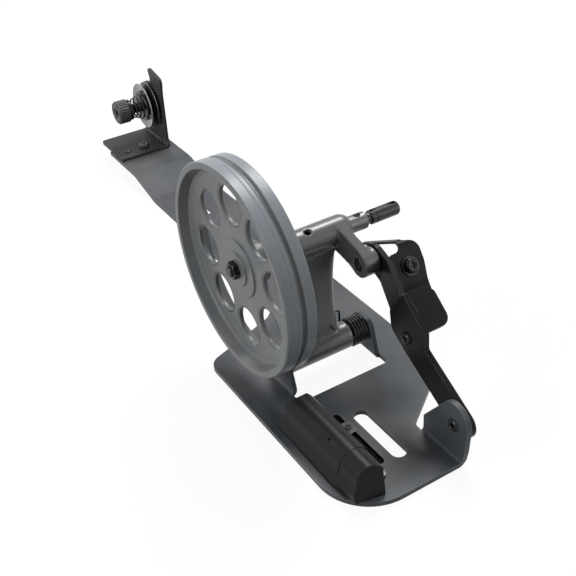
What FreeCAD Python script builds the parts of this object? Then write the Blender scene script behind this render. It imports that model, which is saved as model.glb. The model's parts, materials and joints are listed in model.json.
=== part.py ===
import FreeCAD, Part
import os
from math import atan2, cos, degrees, hypot, pi, radians, sin, sqrt, tan
from FreeCAD import Vector

os.makedirs("parts", exist_ok=True)

# Frame: X runs along the spindle from the drive wheel to the bobbin seat,
# Y runs from the front of the plate to the thread tension unit, Z is up.
# The origin is on the underside of the plate, below the spindle axis,
# in the plane of the wheel's outer face.

# Fits and clearances
RUN = 0.05
SEAT_GAP = 0.3

# Sheet thicknesses
PLATE_T = 2.0
LEVER_T = 2.2
FOOT_T = 1.6
FEELER_T = 1.0
BEND_IN = 1.2

# Axes that lie along X, as Y and Z
SPINDLE_Y = 0.0
SPINDLE_Z = 56.5
SWING_Y = -7.5
SWING_Z = 11.6
LINK_Y = -15.0
LINK_Z = 48.5
TOGGLE_Y = -47.6
TOGGLE_Z = 34.6
LEVER_Y = -77.8
LEVER_Z = 16.2
STUD_Y = 219.0
STUD_Z = 30.8

# Base plate
PLATE_LEFT = -3.5
PLATE_RIGHT = 72.5
PLATE_FRONT = -83.0
PLATE_BACK_LEFT = 20.0
PLATE_CORNER_R = 21.0
STRIP_W = 35.0
STRIP_BACK = 221.0
RISE = 5.9
RISE_START = 162.0
RISE_LENGTH = 25.0
SLANT_RIGHT_Y = -35.4
SLANT_FRONT_Y = -56.0
WINDOW_FRONT = -22.5
WINDOW_BACK = 8.0
WINDOW_LEFT = 14.0
WINDOW_RIGHT = 56.4

# Pivot ears of the swing frame
EAR_LEFT_X = 14.3
EAR_RIGHT_X = 54.0
EAR_FOOT_W = 18.0
EAR_TOP_R = 5.6

# Ear of the thumb lever
LEVER_EAR_X = 43.2
LEVER_EAR_BACK = -61.5

# Slots
FRONT_SLOT_X = 28.6
FRONT_SLOT_Y = -54.0
FRONT_SLOT_L = 29.0
SLOT_W = 6.2
REAR_SLOT_X = 53.75
REAR_SLOT_Y = 142.5
REAR_SLOT_L = 25.0
BRAKE_SLOT_X = 20.3
BRAKE_SLOT_Y = -51.5
BRAKE_SLOT_L = 31.0
BRAKE_SLOT_W = 3.3

# Swing frame casting
TOP_BARREL_R = 5.9
TOP_BARREL_X0 = 14.5
TOP_BARREL_X1 = 53.2
TOP_BARREL_END_R = 4.9
TOP_BARREL_TAPER = 2.4
LOW_BARREL_R = 5.7
LOW_BARREL_X0 = 17.0
LOW_BARREL_X1 = 46.2
COLUMN_T = 7.0
CRANK_X0 = 47.8
CRANK_T = 4.4
CRANK_SET = 2.6
CRANK_END_R = 5.5
CRANK_BOSS_X1 = 54.8
BUSH_R = 4.0
BUSH_L = 10.0
OIL_HOLE_R = 1.4
OIL_HOLE_X = 34.2

# Pivot pin and its spring
PIN_R = 2.0
PIN_HEAD_R = 3.7
PIN_HEAD_T = 1.5
CLIP_T = 0.8
CLIP_R = 3.7
SPRING_WIRE = 0.8
SPRING_R = 5.55
SPRING_TURNS = 5.0
SPRING_END_GAP = 0.3
SPRING_BEND_R = 1.0
SPRING_HOOK_X = 38.0
SPRING_HOOK_Z = 20.0
SPRING_TAIL_Z = 6.8
WIRE_HOLE_R = 0.6

# Drive wheel
WHEEL_R = 42.0
WHEEL_W = 12.0
RIM_T = 2.6
RIM_STEP_X = 4.0
WEB_X = 5.1
WEB_T = 2.0
WEB_R = 33.0
HUB_R = 11.7
HUB_X = 4.4
BOSS_R = 6.9
BOSS_X = 3.7
REAR_HUB_R = 8.0
REAR_HUB_X = 14.0
HOLE_COUNT = 8
HOLE_PCR = 25.4
HOLE_R = 7.5
HOLE_START_DEG = 96.2
GROOVE_X = 6.9
GROOVE_W = 2.4
GROOVE_D = 0.9
RIM_LINE_X = 4.0
RIM_LINE_D = 0.2

# Spindle
SHAFT_R = 2.5
COLLAR_R = 3.5
COLLAR_X0 = 53.5
COLLAR_X1 = 62.2
NECK_R = 2.2
SEAT_X0 = 64.0
SEAT_X1 = 78.0
SEAT_SLOT_START = 0.3
SEAT_SLOT_END = 1.2
BOBBIN_R = 2.95
SEAT_GROOVE_X = 66.3
WHEEL_SCREW_R = 1.5
WHEEL_SCREW_HEX = 6.2
WHEEL_SCREW_H = 2.5
WHEEL_SCREW_END_R = 2.3
WHEEL_SCREW_END_H = 0.9
SET_SCREW_R = 1.5
SET_SCREW_X = 58.0
LEAF_W = 1.5
LEAF_T = 0.5
LEAF_BELOW = 0.2

# Levers
LEVER_X = 45.7
LEVER_W = 12.0
LINK_TOP_X = 55.1
LINK_LOW_X = 48.2
LINK_TOP_R = 6.0
LINK_END_R = 6.4
RIVET_R = 2.0
RIVET_HEAD_R = 3.4
EYELET_R = 1.7
EYELET_BORE_R = 1.0
EYELET_HEAD_R = 2.6
EYELET_BACK_R = 4.6
TOGGLE_CLEARANCE = 1.25
PAD_X1 = 58.2
PAD_L = 16.0
PAD_START = 11.4
PAD_ACROSS = 14.1
PAD_LEAN_DEG = 187.8

# Bobbin feeler
FEELER_X0 = 57.9
FEELER_X1 = 72.7
FEELER_SCREW_X = 65.6
FEELER_SCREW_R = 1.5
FEELER_TOP = 10.6
FEELER_BEND_R = 2.2
FEELER_SHOULDER = 6.6
TONGUE_L = 27.0
TONGUE_X0 = 64.0
TONGUE_W = 2.9
TONGUE_RISE_DEG = 7.0
LIP_START = -7.0
LIP_L = 4.8
LIP_DEG = 18.4
LIP_R = 12.0

# Brake
BRAKE_BACK = -30.0
BRAKE_SEAM = -65.5
BRAKE_FRONT = -78.4
BRAKE_H = 12.6
BRAKE_LEFT = -0.6
BRAKE_SKIRT = 0.6
BRAKE_CROWN_X = 8.8
BRAKE_CROWN_R = 6.4
BRAKE_REAR_R = 3.0
NOSE_INSET = 0.4
NOSE_LEFT = 1.4
NOSE_LEAN = 3.2
NOSE_TURN_DEG = -11.0
NOSE_CORNER_R = 4.0
BRAKE_LUG_Y = -45.7
BRAKE_SCREW_R = 1.25
BRACKET_T = 1.0
BRACKET_X0 = 6.0
BRACKET_X1 = 18.0
BRACKET_FRONT = -73.0
SLIDER_T = 0.8
SLIDER_W = 7.6
SLIDER_L = 41.0
SLIDER_TRAVEL = 5.5
SLIDER_GAP = 0.05

# Tension unit
FOOT_X0 = 38.2
TAB_X0 = 67.3
FOOT_Y0 = 203.8
FOOT_Y1 = 235.0
TAB_HALF = 12.5
TAB_TOP = 12.4
HORN_TOP = 21.6
HORN_R = 1.5
DISC_X = 63.4
DISC_R = 13.0
DISC_T = 0.9
DISC_DEPTH = 1.4
DISC_FLAT_R = 6.6
THREAD_GAP = 0.2
STUD_R = 2.9
STUD_HOLLOW = 0.9
SHOULDER_R = 4.5
SEAT_RING_R = 8.5
SEAT_RING_T = 0.7
SEAT_RING_LIFT = 1.2
NUT_R = 6.6
NUT_X0 = 44.6
NUT_X1 = 51.6
NUT_BORE_R = 1.8
NUT_RECESS_R = 3.4
NUT_RECESS_D = 0.6
NUT_FLOOR = 1.4
CAP_X1 = 53.2
CAP_T = 1.2
TENSION_WIRE = 0.9
TENSION_R0 = 4.6
TENSION_R1 = 7.0
TENSION_TURNS = 3.0


def export(node, shape):
    solids = shape.Solids
    if not solids:
        raise ValueError(node + " has no solid")
    result = solids[0] if len(solids) == 1 else Part.makeCompound(solids)
    result.exportStep("parts/" + node + ".step")
    box = result.BoundBox
    print(node, "solids", len(solids), "volume", round(result.Volume, 1),
          "x", round(box.XMin, 1), round(box.XMax, 1),
          "y", round(box.YMin, 1), round(box.YMax, 1),
          "z", round(box.ZMin, 1), round(box.ZMax, 1), "valid", result.isValid())


def rod(x0, x1, r, y, z):
    return Part.makeCylinder(r, x1 - x0, Vector(x0, y, z), Vector(1, 0, 0))


def turned(profile, y, z):
    # A solid of revolution about X from (x, radius) points.
    points = [Vector(x, y, z + r) for x, r in profile]
    face = Part.Face(Part.makePolygon(points + [points[0]]))
    return face.revolve(Vector(0, y, z), Vector(1, 0, 0), 360)


def rounded_wire(corners, place):
    # A closed outline through (u, v, radius) corners, with arcs at the corners.
    count = len(corners)
    ends = []
    for i in range(count):
        u, v, r = corners[i]
        pu, pv = corners[i - 1][:2]
        nu, nv = corners[(i + 1) % count][:2]
        la = hypot(pu - u, pv - v)
        lb = hypot(nu - u, nv - v)
        au, av = (pu - u) / la, (pv - v) / la
        bu, bv = (nu - u) / lb, (nv - v) / lb
        half = 0.5 * atan2(abs(au * bv - av * bu), au * bu + av * bv)
        if r <= 0:
            ends.append(((u, v), None, (u, v)))
            continue
        reach = r / tan(half)
        su, sv = au + bu, av + bv
        length = hypot(su, sv)
        cu, cv = u + su / length * r / sin(half), v + sv / length * r / sin(half)
        mu, mv = cu - su / length * r, cv - sv / length * r
        ends.append(((u + au * reach, v + av * reach), (mu, mv), (u + bu * reach, v + bv * reach)))
    edges = []
    for i in range(count):
        start, middle, stop = ends[i]
        if middle:
            edges.append(Part.Arc(place(*start), place(*middle), place(*stop)).toShape())
        following = ends[(i + 1) % count][0]
        if hypot(following[0] - stop[0], following[1] - stop[1]) > 1e-6:
            edges.append(Part.makeLine(place(*stop), place(*following)))
    return Part.Wire(edges)


def plate_xy(corners, z0, z1):
    wire = rounded_wire(corners, lambda u, v: Vector(u, v, z0))
    return Part.Face(wire).extrude(Vector(0, 0, z1 - z0))


def plate_yz(corners, x0, x1):
    wire = rounded_wire(corners, lambda u, v: Vector(x0, u, v))
    return Part.Face(wire).extrude(Vector(x1 - x0, 0, 0))


def plate_xz(corners, y0, y1):
    wire = rounded_wire(corners, lambda u, v: Vector(u, y0, v))
    return Part.Face(wire).extrude(Vector(0, y1 - y0, 0))


def slot_xy(x, y, length, width, z0, z1):
    half_w = width / 2
    half_l = length / 2
    r = half_w - 0.01
    corners = [(x - half_w, y - half_l, r), (x + half_w, y - half_l, r),
               (x + half_w, y + half_l, r), (x - half_w, y + half_l, r)]
    return plate_xy(corners, z0, z1)


def bar_yz(ya, za, ra, yb, zb, rb, x0, x1):
    # The hull of two discs, as thick as the span in X.
    length = hypot(yb - ya, zb - za)
    along = atan2(zb - za, yb - ya)
    lean = atan2(ra - rb, sqrt(length * length - (ra - rb) ** 2))
    points = []
    for side in (1, -1):
        angle = along + side * (pi / 2 - lean)
        points.append((ya + ra * cos(angle), za + ra * sin(angle)))
        points.append((yb + rb * cos(angle), zb + rb * sin(angle)))
    order = [points[0], points[1], points[3], points[2]]
    body = plate_yz([(p[0], p[1], 0) for p in order], x0, x1)
    return body.fuse([rod(x0, x1, ra, ya, za), rod(x0, x1, rb, yb, zb)]).removeSplitter()


def arc_from_tangent(start, tangent, stop):
    chord = stop - start
    half = chord * 0.5
    unit = Vector(chord)
    unit.normalize()
    side = tangent - unit * tangent.dot(unit)
    if side.Length < 1e-7:
        return Part.makeLine(start, stop)
    angle = atan2(side.Length, tangent.dot(unit))
    side.normalize()
    middle = start + half + side * (chord.Length / 2 * tan(angle / 2))
    return Part.Arc(start, middle, stop).toShape()


def biarc(start, t0, stop, t1):
    v = stop - start
    t = t0 + t1
    vt = v.dot(t)
    k = 2 * (1 - t0.dot(t1))
    if abs(k) < 1e-9:
        reach = v.dot(v) / (4 * v.dot(t1))
    else:
        reach = (-vt + sqrt(vt * vt + k * v.dot(v))) / k
    joint = (start + t0 * reach + stop - t1 * reach) * 0.5
    first = arc_from_tangent(start, t0, joint)
    second = arc_from_tangent(stop, t1 * -1, joint)
    return [first, second]


def coil_edges(point_at, turns, per_turn=4):
    # Quarter turns of a coil, each as two tangent arcs.
    steps = max(1, int(round(turns * per_turn)))
    edges = []
    small = 1e-4
    for i in range(steps):
        a = turns * i / steps
        b = turns * (i + 1) / steps
        ta = point_at(a + small) - point_at(a - small)
        tb = point_at(b + small) - point_at(b - small)
        ta.normalize()
        tb.normalize()
        edges += biarc(point_at(a), ta, point_at(b), tb)
    return edges


def wire_tube(edges, diameter):
    path = Part.Wire(edges)
    first = path.OrderedEdges[0]
    start = path.OrderedVertexes[0].Point
    at = first.FirstParameter
    if (first.valueAt(at) - start).Length > 1e-4:
        at = first.LastParameter
    tangent = first.tangentAt(at)
    ring = Part.Wire(Part.makeCircle(diameter / 2, start, tangent))
    return path.makePipeShell([ring], True, False)


def least_gap(point_at, turns, diameter):
    # The smallest clear distance between neighbouring turns.
    best = 1e9
    steps = 48
    total = int(turns * steps)
    points = [point_at(i / steps) for i in range(total + 1)]
    for i in range(total + 1):
        for j in range(i + steps // 2, total + 1):
            best = min(best, (points[i] - points[j]).Length)
    return best - diameter


def ear_shape(x0, outward):
    # A pivot ear bent up out of the window edge, with a round top about the swing axis.
    half = EAR_FOOT_W / 2
    top = SWING_Z + EAR_TOP_R
    outline = [(SWING_Y - half, 0, 0), (SWING_Y - half, PLATE_T + 1.5, 1.0),
               (SWING_Y - EAR_TOP_R * 0.9, top, EAR_TOP_R * 0.75),
               (SWING_Y + EAR_TOP_R * 0.9, top, EAR_TOP_R * 0.75),
               (SWING_Y + half, PLATE_T + 1.5, 1.0), (SWING_Y + half, 0, 0)]
    reach = 5.0
    r_out = BEND_IN + PLATE_T
    if outward > 0:
        section = [(x0 + PLATE_T + reach, 0, 0), (x0 + PLATE_T + reach, PLATE_T, 0),
                   (x0 + PLATE_T, PLATE_T, BEND_IN), (x0 + PLATE_T, top + 1, 0),
                   (x0, top + 1, 0), (x0, 0, r_out)]
    else:
        section = [(x0 - reach, 0, 0), (x0 + PLATE_T, 0, r_out), (x0 + PLATE_T, top + 1, 0),
                   (x0, top + 1, 0), (x0, PLATE_T, BEND_IN), (x0 - reach, PLATE_T, 0)]
    bent = plate_xz(section, SWING_Y - half, SWING_Y + half)
    ear = bent.common(plate_yz(outline, x0 - reach - 1, x0 + PLATE_T + reach + 1))
    return ear.cut(rod(x0 - 1, x0 + PLATE_T + 1, PIN_R + RUN, SWING_Y, SWING_Z))


def base_plate():
    strip_left = PLATE_RIGHT - STRIP_W
    slope = (SLANT_RIGHT_Y - SLANT_FRONT_Y) / (PLATE_RIGHT - 44.5)
    outline = [(PLATE_LEFT, PLATE_FRONT, PLATE_CORNER_R), (LEVER_EAR_X - 1.0, PLATE_FRONT, 0),
               (LEVER_EAR_X - 1.0, LEVER_EAR_BACK, 0), (LEVER_EAR_X - 0.8, LEVER_EAR_BACK + 3.4, 0.6),
               (44.5, SLANT_FRONT_Y, 1.0), (PLATE_RIGHT, SLANT_RIGHT_Y, 8.0),
               (PLATE_RIGHT, RISE_START, 0), (strip_left, RISE_START, 0),
               (strip_left, 34.8, 12.0), (PLATE_LEFT, PLATE_BACK_LEFT, 7.0)]
    body = plate_xy(outline, 0, PLATE_T)
    ramp_end = RISE_START + RISE_LENGTH
    profile = [(RISE_START - 1, 0, 0), (RISE_START, 0, 20), (ramp_end, RISE, 20),
               (STRIP_BACK, RISE, 0), (STRIP_BACK, RISE + PLATE_T, 0),
               (ramp_end, RISE + PLATE_T, 20), (RISE_START, PLATE_T, 20), (RISE_START - 1, PLATE_T, 0)]
    profile[0] = (RISE_START - 6, 0, 0)
    profile[-1] = (RISE_START - 6, PLATE_T, 0)
    body = body.fuse(plate_yz(profile, strip_left, PLATE_RIGHT))
    window = [(WINDOW_LEFT, WINDOW_FRONT, 2.0), (WINDOW_RIGHT, WINDOW_FRONT, 2.0),
              (WINDOW_RIGHT, WINDOW_BACK, 2.0), (WINDOW_LEFT, WINDOW_BACK, 2.0)]
    body = body.cut(plate_xy(window, -1, PLATE_T + 1))
    body = body.fuse([ear_shape(EAR_LEFT_X, -1), ear_shape(EAR_RIGHT_X, 1)])
    body = body.cut(rod(EAR_RIGHT_X - 1, EAR_RIGHT_X + PLATE_T + 1, WIRE_HOLE_R, SWING_Y + SPRING_R, SPRING_TAIL_Z))
    body = body.cut(slot_xy(FRONT_SLOT_X, FRONT_SLOT_Y, FRONT_SLOT_L, SLOT_W, -1, PLATE_T + 1))
    body = body.cut(slot_xy(REAR_SLOT_X, REAR_SLOT_Y, REAR_SLOT_L, SLOT_W, -1, PLATE_T + 1))
    body = body.cut(slot_xy(BRAKE_SLOT_X, BRAKE_SLOT_Y, BRAKE_SLOT_L, BRAKE_SLOT_W, -1, PLATE_T + 1))
    body = body.cut(slider_strip(SLIDER_TRAVEL, -1, SLIDER_T + 2 * SLIDER_GAP))
    body = body.fuse(lever_ear())
    for x, r in bracket_holes():
        hole = Part.makeCylinder(r + RUN, PLATE_T + 2, Vector(x, FOOT_Y0 + 8, RISE - 1))
        body = body.cut(hole)
    return body.removeSplitter()


def lever_ear():
    # The ear for the thumb lever, bent up along the plate's right edge.
    x0 = LEVER_EAR_X
    top = LEVER_Z + 12
    r_out = BEND_IN + PLATE_T
    section = [(x0 - 4, 0, 0), (x0 + PLATE_T, 0, r_out), (x0 + PLATE_T, top, 0),
               (x0, top, 0), (x0, PLATE_T, BEND_IN), (x0 - 4, PLATE_T, 0)]
    bent = plate_xz(section, PLATE_FRONT - 4, LEVER_EAR_BACK)
    outline = [(LEVER_EAR_BACK, -0.5, 0), (LEVER_EAR_BACK, 9.0, 1.5),
               (LEVER_Y + 3.2, LEVER_Z + 9.6, 6.0), (LEVER_Y - 7.8, LEVER_Z + 8.6, 7.2),
               (LEVER_Y - 6.4, 7.0, 9.0), (PLATE_FRONT, 1.0, 1.0), (PLATE_FRONT, -0.5, 0)]
    ear = bent.common(plate_yz(outline, x0 - 6, x0 + PLATE_T + 2))
    return ear.cut(rod(x0 - 1, x0 + PLATE_T + 1, EYELET_R + RUN, LEVER_Y, LEVER_Z))


def bracket_holes():
    centre = 55.5
    return [(centre, 1.5), (centre - 10.6, 1.6), (centre + 10.2, 1.6)]


def swing_frame():
    neck = TOP_BARREL_X1 - TOP_BARREL_TAPER
    barrel = turned([(TOP_BARREL_X0, 0), (TOP_BARREL_X0, TOP_BARREL_R), (neck, TOP_BARREL_R),
                     (TOP_BARREL_X1, TOP_BARREL_END_R), (TOP_BARREL_X1, 0)], SPINDLE_Y, SPINDLE_Z)
    low = rod(LOW_BARREL_X0, LOW_BARREL_X1, LOW_BARREL_R, SWING_Y, SWING_Z)
    boss = rod(CRANK_X0, CRANK_BOSS_X1, CRANK_END_R, LINK_Y, LINK_Z)
    body = barrel.fuse([low, column(), crank(), boss]).removeSplitter()
    body = body.cut(rod(TOP_BARREL_X0 - 1, TOP_BARREL_X1 + 1, BUSH_R + RUN, SPINDLE_Y, SPINDLE_Z))
    body = body.cut(rod(LOW_BARREL_X0 - 1, LOW_BARREL_X1 + 1, PIN_R + RUN, SWING_Y, SWING_Z))
    body = body.cut(rod(CRANK_X0 - 1, CRANK_BOSS_X1 + 1, RIVET_R + RUN, LINK_Y, LINK_Z))
    oil = Part.makeCylinder(OIL_HOLE_R, 10, Vector(OIL_HOLE_X, SPINDLE_Y, SPINDLE_Z), Vector(0, -0.35, 1))
    hook = Part.makeCylinder(WIRE_HOLE_R, 16, Vector(SPRING_HOOK_X, SWING_Y - 8, SPRING_HOOK_Z), Vector(0, 1, 0))
    return body.cut(oil).cut(hook)


def crank():
    # The arm from the top barrel to the link rivet, set over towards the bobbin seat on its way.
    run = hypot(LINK_Y - SPINDLE_Y, LINK_Z - SPINDLE_Z)
    uy, uz = (LINK_Y - SPINDLE_Y) / run, (LINK_Z - SPINDLE_Z) / run
    wide = 2 * TOP_BARREL_R + 2
    reach = TOP_BARREL_R + 1
    stop = run - RIVET_HEAD_R
    near = CRANK_X0 - CRANK_SET * (stop + reach) / stop
    section = [(-reach, near, 0), (stop, CRANK_X0, 6), (run + reach, CRANK_X0, 0),
               (run + reach, CRANK_X0 + CRANK_T, 0), (stop, CRANK_X0 + CRANK_T, 6), (-reach, near + CRANK_T, 0)]

    def place(u, x):
        return Vector(x, SPINDLE_Y + uy * u + uz * wide / 2, SPINDLE_Z + uz * u - uy * wide / 2)

    strip = Part.Face(rounded_wire(section, place)).extrude(Vector(0, -uz * wide, uy * wide))
    return strip.common(bar_yz(SPINDLE_Y, SPINDLE_Z, TOP_BARREL_R, LINK_Y, LINK_Z, CRANK_END_R,
                               near - 1, CRANK_X0 + CRANK_T + 1))


def column():
    # The web between the barrels, waisted on both sides and rounded along its edges.
    rise = hypot(SPINDLE_Y - SWING_Y, SPINDLE_Z - SWING_Z)
    lean = degrees(atan2(SPINDLE_Y - SWING_Y, SPINDLE_Z - SWING_Z))
    x_low0, x_mid0, x_top0 = LOW_BARREL_X0 + 2.0, TOP_BARREL_X0 + 9.0, TOP_BARREL_X0 + 6.5
    x_low1, x_top1 = LOW_BARREL_X1 - 3.8, CRANK_X0 + 0.5
    flank = [Vector(x_low1, 0, 0), Vector(x_low1 - 0.4, 0, rise * 0.4), Vector(x_low1 + 1.5, 0, rise * 0.7),
             Vector(x_top1, 0, rise)]
    curve = Part.BSplineCurve()
    curve.interpolate(flank)
    left = Part.Arc(Vector(x_top0, 0, rise), Vector(x_mid0, 0, rise * 0.6), Vector(x_low0, 0, 0)).toShape()
    right = curve.toShape()
    low = Part.makeLine(Vector(x_low0, 0, 0), Vector(x_low1, 0, 0))
    top = Part.makeLine(Vector(x_top1, 0, rise), Vector(x_top0, 0, rise))
    web = Part.Face(Part.Wire([left, low, right, top])).extrude(Vector(0, COLUMN_T, 0))
    web.translate(Vector(0, -COLUMN_T / 2, 0))
    long_edges = [e for e in web.Edges if e.BoundBox.ZLength > rise * 0.9]
    web = web.makeFillet(COLUMN_T * 0.42, long_edges)
    web.rotate(Vector(0, 0, 0), Vector(1, 0, 0), -lean)
    web.translate(Vector(0, SWING_Y, SWING_Z))
    return web


def pivot_pin():
    head_x = EAR_LEFT_X - PIN_HEAD_T
    stop_x = EAR_RIGHT_X + PLATE_T
    profile = [(head_x, 0), (head_x, PIN_HEAD_R - 0.5), (head_x + 0.5, PIN_HEAD_R),
               (EAR_LEFT_X, PIN_HEAD_R), (EAR_LEFT_X, PIN_R), (stop_x + 0.1, PIN_R),
               (stop_x + 0.1, PIN_R - 0.5), (stop_x + 0.1 + CLIP_T, PIN_R - 0.5),
               (stop_x + 0.1 + CLIP_T, PIN_R), (stop_x + CLIP_T + 1.0, PIN_R),
               (stop_x + CLIP_T + 1.3, PIN_R - 0.3), (stop_x + CLIP_T + 1.3, 0)]
    return turned(profile, SWING_Y, SWING_Z)


def pivot_clip():
    x0 = EAR_RIGHT_X + PLATE_T + 0.1
    ring = rod(x0, x0 + CLIP_T, CLIP_R, SWING_Y, SWING_Z)
    ring = ring.cut(rod(x0 - 1, x0 + 2, PIN_R - 0.5 + RUN, SWING_Y, SWING_Z))
    mouth = Part.makeBox(3, 2.2, 6, Vector(x0 - 1, SWING_Y - 1.1, SWING_Z - 6))
    return ring.cut(mouth)


def frame_spring():
    # The torsion spring: one leg hooks through the column, the coil goes round the pivot pin,
    # and the other leg is held in a hole of the right ear.
    x_start = LOW_BARREL_X1 + SPRING_END_GAP + SPRING_WIRE / 2
    pitch = (EAR_RIGHT_X - SPRING_END_GAP - SPRING_WIRE / 2 - x_start) / SPRING_TURNS
    r = SPRING_BEND_R
    short = r * (1 - cos(pi / 4))
    long = r * sin(pi / 4)

    def at(turn):
        angle = 2 * pi * turn
        return Vector(x_start + pitch * turn, SWING_Y + SPRING_R * cos(angle),
                      SWING_Z - SPRING_R * sin(angle))

    start = at(0)
    y = start.y
    hook = [Vector(SPRING_HOOK_X, SWING_Y - 4.4, SPRING_HOOK_Z), Vector(SPRING_HOOK_X, y - r, SPRING_HOOK_Z)]
    hook += [Vector(SPRING_HOOK_X + short, y - r + long, SPRING_HOOK_Z),
             Vector(SPRING_HOOK_X + r, y, SPRING_HOOK_Z)]
    knee = [Vector(x_start - r, y, SPRING_HOOK_Z), Vector(x_start - r + long, y, SPRING_HOOK_Z - short),
            Vector(x_start, y, SPRING_HOOK_Z - r)]
    last = at(SPRING_TURNS)
    tail = [Vector(last.x, y, SPRING_TAIL_Z + r), Vector(last.x + short, y, SPRING_TAIL_Z + r - long),
            Vector(last.x + r, y, SPRING_TAIL_Z), Vector(EAR_RIGHT_X + PLATE_T + 1.0, y, SPRING_TAIL_Z)]
    edges = [Part.makeLine(hook[0], hook[1]), Part.Arc(hook[1], hook[2], hook[3]).toShape(),
             Part.makeLine(hook[3], knee[0]), Part.Arc(knee[0], knee[1], knee[2]).toShape(),
             Part.makeLine(knee[2], start)]
    edges += coil_edges(at, SPRING_TURNS)
    edges += [Part.makeLine(last, tail[0]), Part.Arc(tail[0], tail[1], tail[2]).toShape(),
              Part.makeLine(tail[2], tail[3])]
    print("frame_spring least gap", round(least_gap(at, SPRING_TURNS, SPRING_WIRE), 3))
    return wire_tube(edges, SPRING_WIRE)


def drive_wheel():
    rim_in = WHEEL_R - RIM_T
    back = WHEEL_W
    floor = WHEEL_R - GROOVE_D
    profile = [(0, rim_in), (0, WHEEL_R - 0.4), (0.4, WHEEL_R),
               (RIM_LINE_X - 0.3, WHEEL_R), (RIM_LINE_X, WHEEL_R - RIM_LINE_D), (RIM_LINE_X + 0.3, WHEEL_R),
               (GROOVE_X - GROOVE_W * 0.5, WHEEL_R), (GROOVE_X - GROOVE_W * 0.25, floor + 0.1),
               (GROOVE_X - GROOVE_W * 0.1, floor), (GROOVE_X + GROOVE_W * 0.1, floor),
               (GROOVE_X + GROOVE_W * 0.4, floor + 0.3), (GROOVE_X + GROOVE_W * 0.5, WHEEL_R),
               (back - 0.4, WHEEL_R), (back, WHEEL_R - 0.4), (back, rim_in),
               (WEB_X + WEB_T + 0.6, rim_in - 1.6), (WEB_X + WEB_T, rim_in - 3.0),
               (WEB_X + WEB_T, REAR_HUB_R), (REAR_HUB_X, REAR_HUB_R), (REAR_HUB_X, SHAFT_R + RUN),
               (BOSS_X, SHAFT_R + RUN), (BOSS_X, BOSS_R - 0.3), (BOSS_X + 0.3, BOSS_R), (HUB_X, BOSS_R),
               (HUB_X, HUB_R - 0.3), (HUB_X + 0.3, HUB_R), (WEB_X, HUB_R), (WEB_X, WEB_R),
               (RIM_STEP_X + 0.5, rim_in - 2.6), (RIM_STEP_X, rim_in - 2.0), (RIM_STEP_X, rim_in - 1.2)]
    wheel = turned(profile, SPINDLE_Y, SPINDLE_Z)
    for i in range(HOLE_COUNT):
        angle = radians(HOLE_START_DEG - i * 360 / HOLE_COUNT)
        y = SPINDLE_Y - HOLE_PCR * cos(angle)
        z = SPINDLE_Z + HOLE_PCR * sin(angle)
        wheel = wheel.cut(rod(WEB_X - 1, WEB_X + WEB_T + 1, HOLE_R, y, z))
    return wheel


def hex_along_x(x0, x1, across, y, z):
    corner = across / sqrt(3)
    points = [Vector(x0, y + corner * cos(i * pi / 3), z + corner * sin(i * pi / 3)) for i in range(6)]
    return Part.Face(Part.makePolygon(points + [points[0]])).extrude(Vector(x1 - x0, 0, 0))


def wheel_screw():
    # A hex screw whose head carries a round raised end.
    face = BOSS_X - WHEEL_SCREW_H
    tip = face - WHEEL_SCREW_END_H
    bevel = WHEEL_SCREW_HEX / 2 - 0.1
    head = hex_along_x(face, BOSS_X, WHEEL_SCREW_HEX, SPINDLE_Y, SPINDLE_Z)
    dome = turned([(face, 0), (face, bevel), (face + 0.6, bevel + 0.7), (BOSS_X, bevel + 0.7), (BOSS_X, 0)],
                  SPINDLE_Y, SPINDLE_Z)
    end = turned([(tip, 0), (tip, WHEEL_SCREW_END_R - 0.4), (tip + 0.4, WHEEL_SCREW_END_R),
                  (face, WHEEL_SCREW_END_R), (face, 0)], SPINDLE_Y, SPINDLE_Z)
    shank = rod(BOSS_X, 13.0, WHEEL_SCREW_R, SPINDLE_Y, SPINDLE_Z)
    return head.common(dome).fuse([shank, end]).removeSplitter()


def spindle():
    profile = [(BOSS_X + 0.2, 0), (BOSS_X + 0.2, SHAFT_R), (COLLAR_X1, SHAFT_R), (COLLAR_X1, NECK_R),
               (SEAT_X0 - 0.3, NECK_R), (SEAT_X0, NECK_R + 0.3), (SEAT_X0, BOBBIN_R - 0.25),
               (SEAT_X0 + 0.25, BOBBIN_R),
               (SEAT_GROOVE_X - 0.3, BOBBIN_R), (SEAT_GROOVE_X - 0.15, BOBBIN_R - 0.3),
               (SEAT_GROOVE_X + 0.15, BOBBIN_R - 0.3), (SEAT_GROOVE_X + 0.3, BOBBIN_R),
               (SEAT_X1 - 1.4, BOBBIN_R), (SEAT_X1 - 0.6, BOBBIN_R - 0.35), (SEAT_X1 - 0.15, BOBBIN_R - 1.0),
               (SEAT_X1, BOBBIN_R - 1.8), (SEAT_X1, 0)]
    body = turned(profile, SPINDLE_Y, SPINDLE_Z)
    body = body.cut(rod(0, 13.5, WHEEL_SCREW_R + RUN, SPINDLE_Y, SPINDLE_Z))
    start = SEAT_X0 + SEAT_SLOT_START
    width = LEAF_W + SEAT_GAP
    slot = Part.makeBox(SEAT_X1 - SEAT_SLOT_END - start, width, BOBBIN_R, Vector(start, -width / 2, SPINDLE_Z + 1.3))
    return body.cut(slot)


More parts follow.
